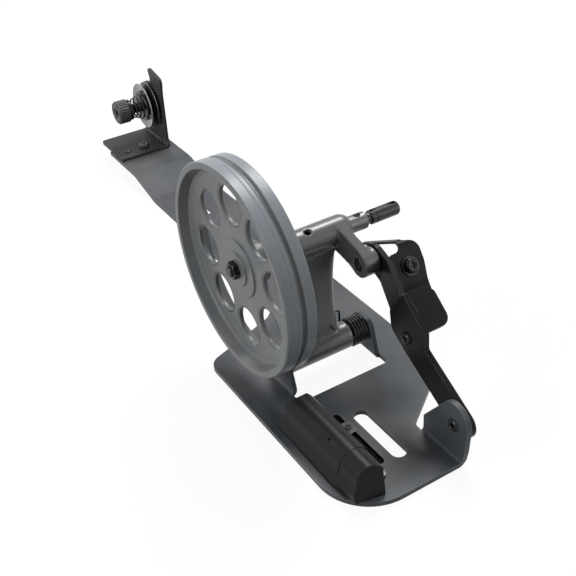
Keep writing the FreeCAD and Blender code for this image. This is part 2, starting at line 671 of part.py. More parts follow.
def bobbin_spring():
    # A bowed leaf in the slot of the seat. Its crown stays just below the surface of the seat.
    x0 = SEAT_X0 + SEAT_SLOT_START + 0.1
    x1 = SEAT_X1 - SEAT_SLOT_END - 0.1
    z0 = SPINDLE_Z + 1.3
    crown = SPINDLE_Z + BOBBIN_R - LEAF_BELOW
    middle = (x0 + x1) / 2
    top = Part.Arc(Vector(x0, 0, z0 + LEAF_T), Vector(middle, 0, crown), Vector(x1, 0, z0 + LEAF_T)).toShape()
    low = Part.Arc(Vector(x1, 0, z0), Vector(middle, 0, crown - LEAF_T), Vector(x0, 0, z0)).toShape()
    a = Part.makeLine(Vector(x1, 0, z0 + LEAF_T), Vector(x1, 0, z0))
    b = Part.makeLine(Vector(x0, 0, z0), Vector(x0, 0, z0 + LEAF_T))
    leaf = Part.Face(Part.Wire([top, a, low, b])).extrude(Vector(0, LEAF_W, 0))
    leaf.translate(Vector(0, -LEAF_W / 2, 0))
    return leaf


def spindle_collar():
    profile = [(COLLAR_X0, SHAFT_R + RUN), (COLLAR_X0, COLLAR_R), (COLLAR_X1 - 0.8, COLLAR_R),
               (COLLAR_X1, COLLAR_R - 0.8), (COLLAR_X1, SHAFT_R + RUN)]
    body = turned(profile, SPINDLE_Y, SPINDLE_Z)
    hole = Part.makeCylinder(SET_SCREW_R + RUN, 6, Vector(SET_SCREW_X, SPINDLE_Y, SPINDLE_Z))
    return body.cut(hole)


def collar_set_screw():
    z0 = SPINDLE_Z + SHAFT_R
    screw = Part.makeCylinder(SET_SCREW_R, 0.7, Vector(SET_SCREW_X, SPINDLE_Y, z0))
    slot = Part.makeBox(4, 0.5, 0.4, Vector(SET_SCREW_X - 2, SPINDLE_Y - 0.25, z0 + 0.4))
    return screw.cut(slot)


def bush(x0):
    ring = rod(x0, x0 + BUSH_L, BUSH_R, SPINDLE_Y, SPINDLE_Z)
    return ring.cut(rod(x0 - 1, x0 + BUSH_L + 1, SHAFT_R + RUN, SPINDLE_Y, SPINDLE_Z))


def lever_spot(along, across):
    # A point of the thumb lever, measured from its pivot along and across the line to the toggle.
    run = hypot(TOGGLE_Y - LEVER_Y, TOGGLE_Z - LEVER_Z)
    ay, az = (TOGGLE_Y - LEVER_Y) / run, (TOGGLE_Z - LEVER_Z) / run
    return LEVER_Y + ay * along - az * across, LEVER_Z + az * along + ay * across


def thumb_lever():
    # A bar from the ear to the toggle pivot that widens into a head,
    # whose upper edge is bent over into the thumb pad.
    run = hypot(TOGGLE_Y - LEVER_Y, TOGGLE_Z - LEVER_Z)
    half = LEVER_W / 2

    def corner(along, across, r):
        y, z = lever_spot(along, across)
        return y, z, r

    top_y, top_z, low_y, low_z, _, _ = pad_line()
    outline = [corner(-half - 0.6, -half, half - 0.1), corner(run - 2, -half, 12.0),
               corner(run + 7.4, 0.8 - half, 5.0), corner(run + 12.2, 0.8, 2.6), (top_y, top_z, 0.4),
               (low_y, low_z, 0), (low_y - 0.2, low_z - 2.0, 0.8), corner(run - 8.5, half, 1.5),
               corner(-half - 0.6, half, half - 0.1)]
    plate = plate_yz(outline, LEVER_X, LEVER_X + LEVER_T)
    plate = plate.fuse(thumb_pad()).removeSplitter()
    x0, x1 = LEVER_X - 1, LEVER_X + LEVER_T + 1
    plate = plate.cut(rod(x0, x1, EYELET_R + RUN, LEVER_Y, LEVER_Z))
    return plate.cut(rod(x0, x1, EYELET_R + RUN, TOGGLE_Y, TOGGLE_Z))


def pad_line():
    # The upper edge of the head, where the pad is bent: its two ends and its direction.
    run = hypot(TOGGLE_Y - LEVER_Y, TOGGLE_Z - LEVER_Z)
    lean = atan2(TOGGLE_Z - LEVER_Z, TOGGLE_Y - LEVER_Y) + radians(PAD_LEAN_DEG)
    top_y, top_z = lever_spot(run + PAD_START, PAD_ACROSS)
    dy, dz = cos(lean), sin(lean)
    return top_y, top_z, top_y + dy * PAD_L, top_z + dz * PAD_L, dy, dz


def thumb_pad():
    top_y, top_z, low_y, low_z, dy, dz = pad_line()
    ny, nz = dz, -dy
    thick = LEVER_T
    outer = thick + BEND_IN

    def place(x, depth):
        return Vector(x, top_y - ny * depth, top_z - nz * depth)

    section = [(LEVER_X, thick + 3.0, 0), (LEVER_X + thick, thick + 3.0, 0),
               (LEVER_X + thick, thick, BEND_IN), (PAD_X1, thick, 0), (PAD_X1, 0, 0), (LEVER_X, 0, outer)]
    wire = rounded_wire(section, place)
    slab = Part.Face(wire).extrude(Vector(0, dy * PAD_L, dz * PAD_L))

    def plan(x, along):
        return Vector(x, top_y + dy * along + ny * 3, top_z + dz * along + nz * 3)

    shape = [(LEVER_X - 1, 0, 0), (PAD_X1 - 2.5, 0, 3.0), (PAD_X1, 3.0, 2.5),
             (PAD_X1, PAD_L, 4.0), (LEVER_X - 1, PAD_L, 0)]
    cutter = Part.Face(rounded_wire(shape, plan)).extrude(Vector(0, -ny * 12, -nz * 12))
    return slab.common(cutter)


def eyelet(x0, x1, y, z, collar_x):
    # A hollow rivet with a rolled head at each end.
    h = 0.9
    profile = [(x0 - h, EYELET_BORE_R + 0.3), (x0 - h, EYELET_HEAD_R - 0.6), (x0 - h + 0.5, EYELET_HEAD_R),
               (x0, EYELET_HEAD_R), (x0, EYELET_R), (x1, EYELET_R), (x1, collar_x),
               (x1 + h - 0.4, collar_x), (x1 + h, collar_x - 0.5), (x1 + h, EYELET_BORE_R),
               (x0 - h + 0.3, EYELET_BORE_R)]
    return turned(profile, y, z)


def lever_eyelet():
    return eyelet(LEVER_EAR_X, LEVER_X + LEVER_T + 0.1, LEVER_Y, LEVER_Z, EYELET_BACK_R)


def lever_washer():
    x0 = LEVER_EAR_X + PLATE_T
    ring = rod(x0, LEVER_X - RUN, 4.6, LEVER_Y, LEVER_Z)
    return ring.cut(rod(x0 - 1, LEVER_X + 1, EYELET_R + RUN, LEVER_Y, LEVER_Z))


def toggle_eyelet():
    return eyelet(LEVER_X, LINK_LOW_X + LEVER_T + SEAT_GAP, TOGGLE_Y, TOGGLE_Z, EYELET_BACK_R)


def trip_link():
    # A cranked strip from the crank boss down to the back of the thumb lever.
    run = hypot(TOGGLE_Y - LINK_Y, TOGGLE_Z - LINK_Z)
    uy, uz = (TOGGLE_Y - LINK_Y) / run, (TOGGLE_Z - LINK_Z) / run
    wy, wz = -uz, uy
    width = 30.0

    def place(u, x):
        return Vector(x, LINK_Y + uy * u - wy * width / 2, LINK_Z + uz * u - wz * width / 2)

    slope = (LINK_TOP_X - LINK_LOW_X) / (run - 13.0)
    thick = LEVER_T
    section = [(-9, LINK_TOP_X, 0), (7.0, LINK_TOP_X, 6), (run - 6.0, LINK_LOW_X, 6), (run + 9, LINK_LOW_X, 0),
               (run + 9, LINK_LOW_X + thick, 0), (run - 6.0 + slope * thick * 0.5, LINK_LOW_X + thick, 6),
               (7.0 + slope * thick * 0.5, LINK_TOP_X + thick, 6), (-9, LINK_TOP_X + thick, 0)]
    strip = Part.Face(rounded_wire(section, place)).extrude(Vector(0, wy * width, wz * width))
    outline = bar_yz(LINK_Y, LINK_Z, LINK_TOP_R, TOGGLE_Y, TOGGLE_Z, LINK_END_R,
                     LINK_LOW_X - 2, LINK_TOP_X + thick + 2)
    link = strip.common(outline)
    link = link.fuse(feeler_tab()).removeSplitter()
    link = link.cut(rod(LINK_TOP_X - 1, LINK_TOP_X + thick + 2, RIVET_R + RUN, LINK_Y, LINK_Z))
    hole_r = EYELET_R + TOGGLE_CLEARANCE
    return link.cut(rod(LINK_LOW_X - 1, LINK_LOW_X + thick + 2, hole_r, TOGGLE_Y, TOGGLE_Z))


# Direction up the face of the feeler and the face's outward normal, as Y and Z
FEELER_UP = (0.57, 0.822)
FEELER_OUT = (-0.822, 0.57)
FEELER_FACE = (-24.1, 45.7)


def feeler_point(x, up, out):
    y = FEELER_FACE[0] + FEELER_UP[0] * up + FEELER_OUT[0] * out
    z = FEELER_FACE[1] + FEELER_UP[1] * up + FEELER_OUT[1] * out
    return Vector(x, y, z)


def feeler_tab():
    # The lug on the link that carries the feeler.
    shape = [(LINK_TOP_X + 0.2, -5.0, 0), (69.0, -5.0, 2.5), (69.0, 4.2, 2.5), (LINK_TOP_X + 0.2, 4.2, 0)]
    wire = rounded_wire(shape, lambda x, up: feeler_point(x, up, -FEELER_T - LEVER_T))
    out = Vector(0, FEELER_OUT[0], FEELER_OUT[1])
    tab = Part.Face(wire).extrude(out * LEVER_T)
    return tab.cut(screw_bore(FEELER_SCREW_R + RUN, -8, 4))


def screw_bore(r, out0, out1):
    start = feeler_point(FEELER_SCREW_X, 0, out0)
    out = Vector(0, FEELER_OUT[0], FEELER_OUT[1])
    return Part.makeCylinder(r, out1 - out0, start, out)


def link_pin():
    # The rivet that joins the trip link to the crank.
    x0 = CRANK_X0
    x1 = LINK_TOP_X + LEVER_T
    profile = [(x0 - 0.7, 0), (x0 - 0.7, 0.9), (x0 - 0.5, 1.2), (x0 - 0.7, 1.6), (x0 - 0.4, RIVET_HEAD_R - 0.9),
               (x0, RIVET_HEAD_R - 0.5), (x0, RIVET_R), (x1 + 0.15, RIVET_R), (x1 + 0.15, RIVET_HEAD_R),
               (x1 + 0.6, RIVET_HEAD_R), (x1 + 1.3, RIVET_HEAD_R - 1.1), (x1 + 1.3, 0)]
    return turned(profile, LINK_Y, LINK_Z)


def feeler():
    # A bent sheet: a flared lip, an upright face and a narrow tongue that reaches under the bobbin.
    t = FEELER_T
    rise, lip = radians(TONGUE_RISE_DEG), radians(LIP_DEG)
    tongue_up, tongue_out = TONGUE_L * sin(rise), -TONGUE_L * cos(rise)
    inner = FEELER_TOP - t * (1 - sin(rise)) / cos(rise)
    lip_up, lip_out = LIP_START - LIP_L * cos(lip), LIP_L * sin(lip)
    section = [(lip_up, lip_out, 0), (LIP_START, 0, LIP_R), (FEELER_TOP, 0, FEELER_BEND_R + t),
               (FEELER_TOP + tongue_up, tongue_out, 0),
               (FEELER_TOP + tongue_up - t * cos(rise), tongue_out - t * sin(rise), 0),
               (inner, -t, FEELER_BEND_R), (LIP_START - t * tan(lip / 2), -t, LIP_R + t),
               (lip_up - t * sin(lip), lip_out - t * cos(lip), 0)]
    wire = rounded_wire(section, lambda up, out: feeler_point(FEELER_X0 - 1, up, out))
    sheet = Part.Face(wire).extrude(Vector(FEELER_X1 - FEELER_X0 + 2, 0, 0))
    beyond = FEELER_TOP + tongue_up + 2
    shape = [(FEELER_X0, lip_up - 4, 0), (FEELER_X1 - 4.2, lip_up - 4, 0), (FEELER_X1 - 2.2, lip_up + 0.6, 2.0),
             (FEELER_X1, LIP_START + 7, 12.0), (FEELER_X1, FEELER_TOP - 2.2, 5.0),
             (TONGUE_X0 + TONGUE_W, FEELER_TOP - 0.3, 0.8), (TONGUE_X0 + TONGUE_W - 1.0, beyond, 0),
             (TONGUE_X0, beyond, 0), (TONGUE_X0, FEELER_SHOULDER, 2.2), (FEELER_X0, FEELER_SHOULDER, 2.4)]
    plan = rounded_wire(shape, lambda x, up: feeler_point(x, up, -40))
    out = Vector(0, FEELER_OUT[0], FEELER_OUT[1])
    body = sheet.common(Part.Face(plan).extrude(out * 60))
    return body.cut(screw_bore(FEELER_SCREW_R + RUN, -4, 4))


def feeler_washer():
    ring = screw_bore(3.8, 0, 0.7)
    return ring.cut(screw_bore(FEELER_SCREW_R + RUN, -1, 2))


def feeler_screw():
    start = 0.7
    shank = screw_bore(FEELER_SCREW_R, -FEELER_T - LEVER_T - 1.6, start + 0.5)
    head = screw_bore(3.0, start, start + 1.9)
    edges = [e for e in head.Edges if e.Length > 15]
    far = max(edges, key=lambda e: (e.CenterOfMass - screw_bore(0.1, 0, 0.1).CenterOfMass).Length)
    head = head.makeFillet(1.0, [far])
    recess = feeler_point(FEELER_SCREW_X, 0, start + 1.0)
    cross = []
    for long_x in (True, False):
        a, b = (3.0, 0.7) if long_x else (0.7, 3.0)
        shape = [(FEELER_SCREW_X - a / 2, -b / 2, 0), (FEELER_SCREW_X + a / 2, -b / 2, 0),
                 (FEELER_SCREW_X + a / 2, b / 2, 0), (FEELER_SCREW_X - a / 2, b / 2, 0)]
        wire = rounded_wire(shape, lambda x, up: feeler_point(x, up, start + 1.0))
        cross.append(Part.Face(wire).extrude(Vector(0, FEELER_OUT[0], FEELER_OUT[1]) * 2))
    return shank.fuse(head).cut(cross[0]).cut(cross[1])


def brake_face(y, left, crown_x, crown_r, top):
    # A face across the block: a flank that flares to its foot, a round crown and an upright side.
    z0 = PLATE_T
    skirt = z0 + BRAKE_SKIRT
    centre = top - crown_r
    lean = radians(12)

    def at(x, z):
        return Vector(x, y, z)

    shoulder = at(crown_x - crown_r * cos(lean), centre + crown_r * sin(lean))
    flank = biarc(at(left, skirt), Vector(0.42, 0, 0.908), shoulder, Vector(sin(lean), 0, cos(lean)))
    crown = Part.Arc(shoulder, at(crown_x, top), at(crown_x + crown_r, centre)).toShape()
    edges = [Part.makeLine(at(left, z0), at(left, skirt))] + flank + [crown]
    edges += [Part.makeLine(at(crown_x + crown_r, centre), at(crown_x + crown_r, z0)),
              Part.makeLine(at(crown_x + crown_r, z0), at(left, z0))]
    return Part.Face(Part.Wire(Part.__sortEdges__(edges)))


def brake_block():
    top = PLATE_T + BRAKE_H
    face = brake_face(BRAKE_SEAM, BRAKE_LEFT, BRAKE_CROWN_X, BRAKE_CROWN_R, top)
    block = face.extrude(Vector(0, BRAKE_BACK - BRAKE_SEAM, 0))
    side = [(BRAKE_SEAM, PLATE_T, 0), (BRAKE_BACK, PLATE_T, 0), (BRAKE_BACK, top + 0.1, BRAKE_REAR_R),
            (BRAKE_SEAM, top + 0.1, 0)]
    right = BRAKE_CROWN_X + BRAKE_CROWN_R
    plan = [(BRAKE_LEFT, BRAKE_SEAM, 0), (right, BRAKE_SEAM, 0), (right, BRAKE_BACK, 2 * BRAKE_REAR_R),
            (BRAKE_LEFT, BRAKE_BACK, 0)]
    block = block.common(plate_yz(side, BRAKE_LEFT - 1, right + 1)).common(plate_xy(plan, PLATE_T, top + 1))
    block = block.cut(Part.makeCylinder(0.5, 2, Vector(BRAKE_CROWN_X - 3.4, BRAKE_SEAM + 9.4, top - 1.9)))
    return block.cut(brake_recess())


def brake_end():
    # The nose: inset a little from the block, with a front that leans back and faces slightly outwards.
    left = BRAKE_LEFT + NOSE_INSET / 4
    right = BRAKE_CROWN_X + BRAKE_CROWN_R - NOSE_INSET
    top = PLATE_T + BRAKE_H - NOSE_INSET / 2
    face = brake_face(BRAKE_SEAM, left, BRAKE_CROWN_X, BRAKE_CROWN_R - NOSE_INSET, top)
    nose = face.extrude(Vector(0, BRAKE_FRONT - 3 - BRAKE_SEAM, 0))
    side = [(BRAKE_SEAM + 6, PLATE_T, 0), (BRAKE_FRONT, PLATE_T, 0), (BRAKE_FRONT + NOSE_LEAN, top + 0.3, 1.5),
            (BRAKE_SEAM + 6, top + 0.3, 0)]
    front = plate_yz(side, left - 10, right + 10)
    front.rotate(Vector((left + right) / 2, BRAKE_FRONT, 0), Vector(0, 0, 1), NOSE_TURN_DEG)
    plan = [(left, BRAKE_SEAM, 0), (NOSE_LEFT, BRAKE_FRONT, 0), (NOSE_LEFT + 0.4, BRAKE_FRONT - 3, 0),
            (right - 3.0, BRAKE_FRONT - 3, NOSE_CORNER_R), (right, BRAKE_FRONT + 6, 8.0), (right, BRAKE_SEAM, 0)]
    return nose.common(front).common(plate_xy(plan, PLATE_T, top + 1)).cut(brake_recess())


def brake_recess():
    # The room for the bracket in the underside of the block and its end.
    return Part.makeBox(40, 60, BRACKET_T, Vector(BRACKET_X0, BRACKET_FRONT, PLATE_T))


def brake_bracket():
    lug_y = BRAKE_LUG_Y
    edge = BRACKET_X1
    outline = [(BRACKET_X0, BRACKET_FRONT, 0), (edge, BRACKET_FRONT, 1.5),
               (edge, lug_y - 3.2, 0.5), (BRAKE_SLOT_X + 2.2, lug_y - 3.2, 1.5),
               (BRAKE_SLOT_X + 2.2, lug_y + 3.2, 1.5), (edge, lug_y + 3.2, 0.5),
               (edge, BRAKE_BACK - 0.4, 0.5), (BRACKET_X0, BRAKE_BACK - 0.4, 0)]
    sheet = plate_xy(outline, PLATE_T, PLATE_T + BRACKET_T)
    hole = Part.makeCylinder(BRAKE_SCREW_R + RUN, 8, Vector(BRAKE_SLOT_X, lug_y, -2))
    return sheet.cut(hole)


def slider_strip(grow, z0, z1):
    # The strip that slides below the slot, or with grow its pocket in the plate.
    half_w = SLIDER_W / 2 + (SEAT_GAP if grow else 0)
    half_l = SLIDER_L / 2 + grow
    corners = [(BRAKE_SLOT_X - half_w, BRAKE_SLOT_Y - half_l, 1.0), (BRAKE_SLOT_X + half_w, BRAKE_SLOT_Y - half_l, 1.0),
               (BRAKE_SLOT_X + half_w, BRAKE_SLOT_Y + half_l, 1.0), (BRAKE_SLOT_X - half_w, BRAKE_SLOT_Y + half_l, 1.0)]
    return plate_xy(corners, z0, z1)


def brake_slider():
    strip = slider_strip(0, SLIDER_GAP, SLIDER_GAP + SLIDER_T)
    return strip.cut(Part.makeCylinder(BRAKE_SCREW_R + RUN, 4, Vector(BRAKE_SLOT_X, BRAKE_LUG_Y, -2)))


def brake_screw():
    # The clamping rivet: its flat-sided middle rides in the slot, on the strip, and its end shows above the lug.
    top = PLATE_T + BRACKET_T
    shank = Part.makeCylinder(BRAKE_SCREW_R, top + 0.5 - SLIDER_GAP, Vector(BRAKE_SLOT_X, BRAKE_LUG_Y, SLIDER_GAP))
    width = BRAKE_SLOT_W - 2 * RUN
    z0 = SLIDER_GAP + SLIDER_T
    foot = Part.makeBox(width, 5.0, PLATE_T - z0, Vector(BRAKE_SLOT_X - width / 2, BRAKE_LUG_Y - 2.5, z0))
    return shank.fuse(foot).removeSplitter()


def tension_bracket():
    z0 = RISE + PLATE_T
    z1 = z0 + FOOT_T
    right = TAB_X0 + FOOT_T
    section = [(FOOT_X0, z0, 0), (right, z0, BEND_IN + FOOT_T), (right, 60, 0), (TAB_X0, 60, 0),
               (TAB_X0, z1, BEND_IN), (FOOT_X0, z1, 0)]
    bent = plate_xz(section, FOOT_Y0 - 3, FOOT_Y1)
    front, back = STUD_Y - TAB_HALF, STUD_Y + TAB_HALF
    middle = STUD_Z + TAB_TOP
    outline = [(FOOT_Y0, z0 - 1, 0), (FOOT_Y0, z1 + 0.6, 0), (FOOT_Y0 + 2.0, z1 + 3, 2),
               (front - 2.0, middle - 2.7, 20), (front - 3.9, middle + 6.4, 3.0),
               (STUD_Y + 0.4, STUD_Z + HORN_TOP + 0.4, HORN_R), (STUD_Y - 3.4, middle - 0.4, 3.5),
               (back, middle, 9.5), (back, STUD_Z - 10.8, 14), (FOOT_Y1, z1 + 2, 2), (FOOT_Y1, z0 - 1, 0)]
    bent = bent.common(plate_yz(outline, FOOT_X0 - 1, right + 1))
    corner = [(FOOT_X0, FOOT_Y0, 0.8), (right + 1, FOOT_Y0, 0), (right + 1, FOOT_Y1, 0), (FOOT_X0, FOOT_Y1, 2.0)]
    upright = Part.makeBox(12, 60, 60, Vector(TAB_X0 - 4, FOOT_Y0 - 5, z1 + 0.01))
    bent = bent.common(plate_xy(corner, z0 - 1, z1 + 0.01).fuse(upright))
    for x, r in bracket_holes():
        bent = bent.cut(Part.makeCylinder(r + RUN, 6, Vector(x, FOOT_Y0 + 8, z0 - 2)))
    return bent.cut(rod(TAB_X0 - 1, right + 1, STUD_R - STUD_HOLLOW + RUN, STUD_Y, STUD_Z))


def bracket_screw():
    x, r = bracket_holes()[0]
    z_top = RISE + PLATE_T + FOOT_T
    shank = Part.makeCylinder(r, z_top - RISE + 1.2, Vector(x, FOOT_Y0 + 8, RISE - 1.2))
    head = Part.makeCylinder(2.9, 1.7, Vector(x, FOOT_Y0 + 8, z_top))
    top_edge = [e for e in head.Edges if e.BoundBox.ZMin > z_top + 1.6]
    head = head.makeFillet(0.9, top_edge)
    slot_a = Part.makeBox(3.0, 0.7, 2, Vector(x - 1.5, FOOT_Y0 + 8 - 0.35, z_top + 0.9))
    slot_b = Part.makeBox(0.7, 3.0, 2, Vector(x - 0.35, FOOT_Y0 + 8 - 1.5, z_top + 0.9))
    return shank.fuse(head).cut(slot_a).cut(slot_b)


def bracket_rivets():
    z_top = RISE + PLATE_T + FOOT_T
    rivets = []
    for x, r in bracket_holes()[1:]:
        pin = Part.makeCylinder(r, z_top - RISE + 0.4, Vector(x, FOOT_Y0 + 8, RISE))
        dimple = Part.makeCone(0.3, 0.9, 0.5, Vector(x, FOOT_Y0 + 8, z_top - 0.1))
        rivets.append(pin.cut(dimple))
    return Part.makeCompound(rivets)


def tension_stud():
    # The post of the discs, with a shoulder that carries the rear disc and a riveted end in the tab.
    right = TAB_X0 + FOOT_T
    tip = NUT_X0 + NUT_FLOOR + 1.0
    thin = STUD_R - STUD_HOLLOW
    shoulder = DISC_X + THREAD_GAP / 2 + DISC_T
    profile = [(tip, 0), (tip, STUD_R - 0.4), (tip + 0.4, STUD_R), (shoulder, STUD_R), (shoulder, SHOULDER_R),
               (TAB_X0, SHOULDER_R), (TAB_X0, thin), (right + 0.1, thin), (right + 0.1, thin + 0.7),
               (right + 0.8, thin + 0.3), (right + 0.8, 0)]
    return turned(profile, STUD_Y, STUD_Z)


def disc(toward):
    # A dished tension disc. Its flat middle faces the thread and its rim lies away from it.
    t = DISC_T
    x = DISC_X + toward * THREAD_GAP / 2
    bore = STUD_R + SEAT_GAP
    rim = x + toward * DISC_DEPTH
    profile = [(x, bore), (x, DISC_FLAT_R), (rim, DISC_R - 0.5), (rim + toward * 0.3, DISC_R),
               (rim + toward * t * 0.9, DISC_R - 0.2), (x + toward * t, DISC_FLAT_R - 0.2), (x + toward * t, bore)]
    return turned(profile, STUD_Y, STUD_Z)


def spring_seat():
    # The flanged ring that carries the large end of the spring and rests on the front disc.
    back = DISC_X - THREAD_GAP / 2 - DISC_T
    face = back - SEAT_RING_LIFT
    front = face - SEAT_RING_T
    hub = DISC_FLAT_R - 0.8
    profile = [(front, STUD_R + SEAT_GAP), (front, SEAT_RING_R - 0.3), (front + 0.3, SEAT_RING_R),
               (face, SEAT_RING_R), (face, hub + 0.3), (face + 0.3, hub), (back, hub), (back, STUD_R + SEAT_GAP)]
    return turned(profile, STUD_Y, STUD_Z)


def spring_cap():
    x0 = CAP_X1 - CAP_T
    profile = [(x0, STUD_R + RUN), (x0, TENSION_R0 + 1.3), (CAP_X1, TENSION_R0 + 1.3), (CAP_X1, STUD_R + RUN)]
    return turned(profile, STUD_Y, STUD_Z)


def tension_spring():
    seat = DISC_X - THREAD_GAP / 2 - DISC_T - SEAT_RING_LIFT - SEAT_RING_T
    x0 = CAP_X1 + SEAT_GAP + TENSION_WIRE / 2
    x1 = seat - SEAT_GAP - TENSION_WIRE / 2

    def at(turn):
        share = min(max(turn / TENSION_TURNS, 0.0), 1.0)
        r = TENSION_R0 + (TENSION_R1 - TENSION_R0) * share
        angle = 2 * pi * turn
        return Vector(x0 + (x1 - x0) * share, STUD_Y + r * sin(angle), STUD_Z + r * cos(angle))

    print("tension_spring least gap", round(least_gap(at, TENSION_TURNS, TENSION_WIRE), 3))
    return wire_tube(coil_edges(at, TENSION_TURNS), TENSION_WIRE)


def tension_nut():
    ridges = 24
    recess = NUT_X0 + NUT_RECESS_D
    floor = NUT_X0 + NUT_FLOOR
    profile = [(recess, NUT_BORE_R), (recess, NUT_RECESS_R - 0.3), (NUT_X0, NUT_RECESS_R + 0.2),
               (NUT_X0, NUT_R - 1.9), (NUT_X0 + 0.4, NUT_R - 1.6), (NUT_X0, NUT_R - 1.3),
               (NUT_X0, NUT_R - 0.7), (NUT_X0 + 0.7, NUT_R), (NUT_X1 - 0.5, NUT_R), (NUT_X1, NUT_R - 0.5),
               (NUT_X1, STUD_R + RUN), (floor, STUD_R + RUN), (floor, NUT_BORE_R)]
    body = turned(profile, STUD_Y, STUD_Z)
    cuts = []
    for i in range(ridges):
        angle = 2 * pi * i / ridges
        cuts.append(rod(NUT_X0 + 0.9, NUT_X1 + 1, 0.35, STUD_Y + (NUT_R + 0.1) * cos(angle),
                        STUD_Z + (NUT_R + 0.1) * sin(angle)))
    return body.cut(cuts)


nodes = {
    "base_plate": base_plate,
    "swing_frame": swing_frame,
    "pivot_pin": pivot_pin,
    "pivot_clip": pivot_clip,
    "frame_spring": frame_spring,
    "drive_wheel": drive_wheel,
    "wheel_screw": wheel_screw,
    "spindle": spindle,
    "bobbin_spring": bobbin_spring,
    "spindle_collar": spindle_collar,
    "collar_set_screw": collar_set_screw,
    "wheel_side_bush": lambda: bush(TOP_BARREL_X0),
    "bobbin_side_bush": lambda: bush(TOP_BARREL_X1 - BUSH_L),
    "thumb_lever": thumb_lever,
    "lever_eyelet": lever_eyelet,
    "lever_washer": lever_washer,
    "toggle_eyelet": toggle_eyelet,
    "trip_link": trip_link,
    "link_pin": link_pin,
    "feeler": feeler,
    "feeler_washer": feeler_washer,
    "feeler_screw": feeler_screw,
    "brake_block": brake_block,
    "brake_end": brake_end,
    "brake_bracket": brake_bracket,
    "brake_slider": brake_slider,
    "brake_screw": brake_screw,
    "tension_bracket": tension_bracket,
    "bracket_screw": bracket_screw,
    "bracket_rivets": bracket_rivets,
    "tension_stud": tension_stud,
    "rear_disc": lambda: disc(1),
    "front_disc": lambda: disc(-1),
    "spring_seat": spring_seat,
    "spring_cap": spring_cap,
    "tension_spring": tension_spring,
    "tension_nut": tension_nut,
}

for name, make in nodes.items():
    export(name, make())
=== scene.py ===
import bpy, bmesh, json, math
from mathutils import Matrix, Vector


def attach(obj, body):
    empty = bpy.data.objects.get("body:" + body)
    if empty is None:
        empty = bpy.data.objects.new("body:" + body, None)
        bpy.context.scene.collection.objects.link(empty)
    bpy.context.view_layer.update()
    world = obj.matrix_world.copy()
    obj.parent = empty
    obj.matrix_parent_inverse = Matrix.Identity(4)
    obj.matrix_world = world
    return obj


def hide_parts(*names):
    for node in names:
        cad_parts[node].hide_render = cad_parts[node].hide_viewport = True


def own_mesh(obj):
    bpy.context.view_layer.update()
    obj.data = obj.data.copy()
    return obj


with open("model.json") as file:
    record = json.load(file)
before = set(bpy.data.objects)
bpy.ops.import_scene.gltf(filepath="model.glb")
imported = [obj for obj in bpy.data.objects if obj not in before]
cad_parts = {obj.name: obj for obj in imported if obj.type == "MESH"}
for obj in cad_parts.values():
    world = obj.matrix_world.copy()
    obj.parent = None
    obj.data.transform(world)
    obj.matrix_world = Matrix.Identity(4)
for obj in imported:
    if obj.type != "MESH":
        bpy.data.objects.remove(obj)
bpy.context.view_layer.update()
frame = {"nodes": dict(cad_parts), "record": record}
nodes = frame["nodes"]
nodeBody = {node: body for body, names in frame["record"]["behaviour"]["bodies"].items() for node in names}
nodeSlot = {entry["node"]: entry["material_slot"] for entry in frame["record"]["subparts"]}


def linear(value):
    return value / 12.92 if value <= 0.04045 else ((value + 0.055) / 1.055) ** 2.4


def grey(level, tint=(0.0, 0.0, 0.0)):
    # an sRGB level from 0 to 255 with a small tint, as a linear colour
    return tuple(linear(min(max((level + shift) / 255, 0), 1)) for shift in tint) + (1.0,)


def linked(name, data):
    item = bpy.data.objects.new(name, data)
    bpy.context.scene.collection.objects.link(item)
    return item


# camera: the photograph's viewpoint
viewPoint = {"pan": -29.39, "tilt": 34.65, "roll": -4.41, "shift": (-22.26, 5.66, 337.77), "axisHeight": 56.5,
             "lens": 57.58, "sensor": 36, "nearest": 0.01}


def placeCamera(view):
    pan, tilt, roll = (math.radians(view[key]) for key in ("pan", "tilt", "roll"))
    right = Vector((math.cos(pan), math.sin(pan), 0))
    back = Vector((math.sin(pan) * math.cos(tilt), -math.cos(pan) * math.cos(tilt), math.sin(tilt)))
    up = back.cross(right)
    turnedRight = math.cos(roll) * right + math.sin(roll) * up
    turnedUp = -math.sin(roll) * right + math.cos(roll) * up
    tx, ty, tz = view["shift"]
    place = -(turnedRight * tx + turnedUp * ty - back * tz)
    place.z += view["axisHeight"]
    camera = linked("camera", bpy.data.cameras.new("camera"))
    camera.matrix_world = Matrix((
        (turnedRight.x, turnedUp.x, back.x, place.x / 1000), (turnedRight.y, turnedUp.y, back.y, place.y / 1000),
        (turnedRight.z, turnedUp.z, back.z, place.z / 1000), (0, 0, 0, 1)))
    camera.data.lens = view["lens"]
    camera.data.sensor_width = view["sensor"]
    camera.data.clip_start = view["nearest"]
    bpy.context.scene.camera = camera


placeCamera(viewPoint)
print("camera placed")

# floor, lamps and world
studio = {"floorSize": 6.0, "floorDrop": 0.0004, "floorPaint": 0.97, "floorBounce": 0.16, "floorGlow": 0.92,
          "worldLevel": 0.12, "aim": (0.035, 0.02, 0.04),
          # each lamp's name, place, size and power
          "lamps": (("keyLamp", (-0.85, 0.0, 0.45), 0.5, 6.0), ("topLamp", (0.42, 0.36, 0.85), 0.36, 8.0),
                    ("fillLamp", (0.72, -0.62, 0.3), 0.5, 2.4), ("backLamp", (-0.2, 0.8, 0.4), 0.5, 1.6))}


def tree(material):
    material.use_nodes = True
    nodeTree = material.node_tree
    nodeTree.nodes.clear()
    return nodeTree


def addNode(nodeTree, kind, **values):
    node = nodeTree.nodes.new(kind)
    for name, value in values.items():
        setattr(node, name, value)
    return node


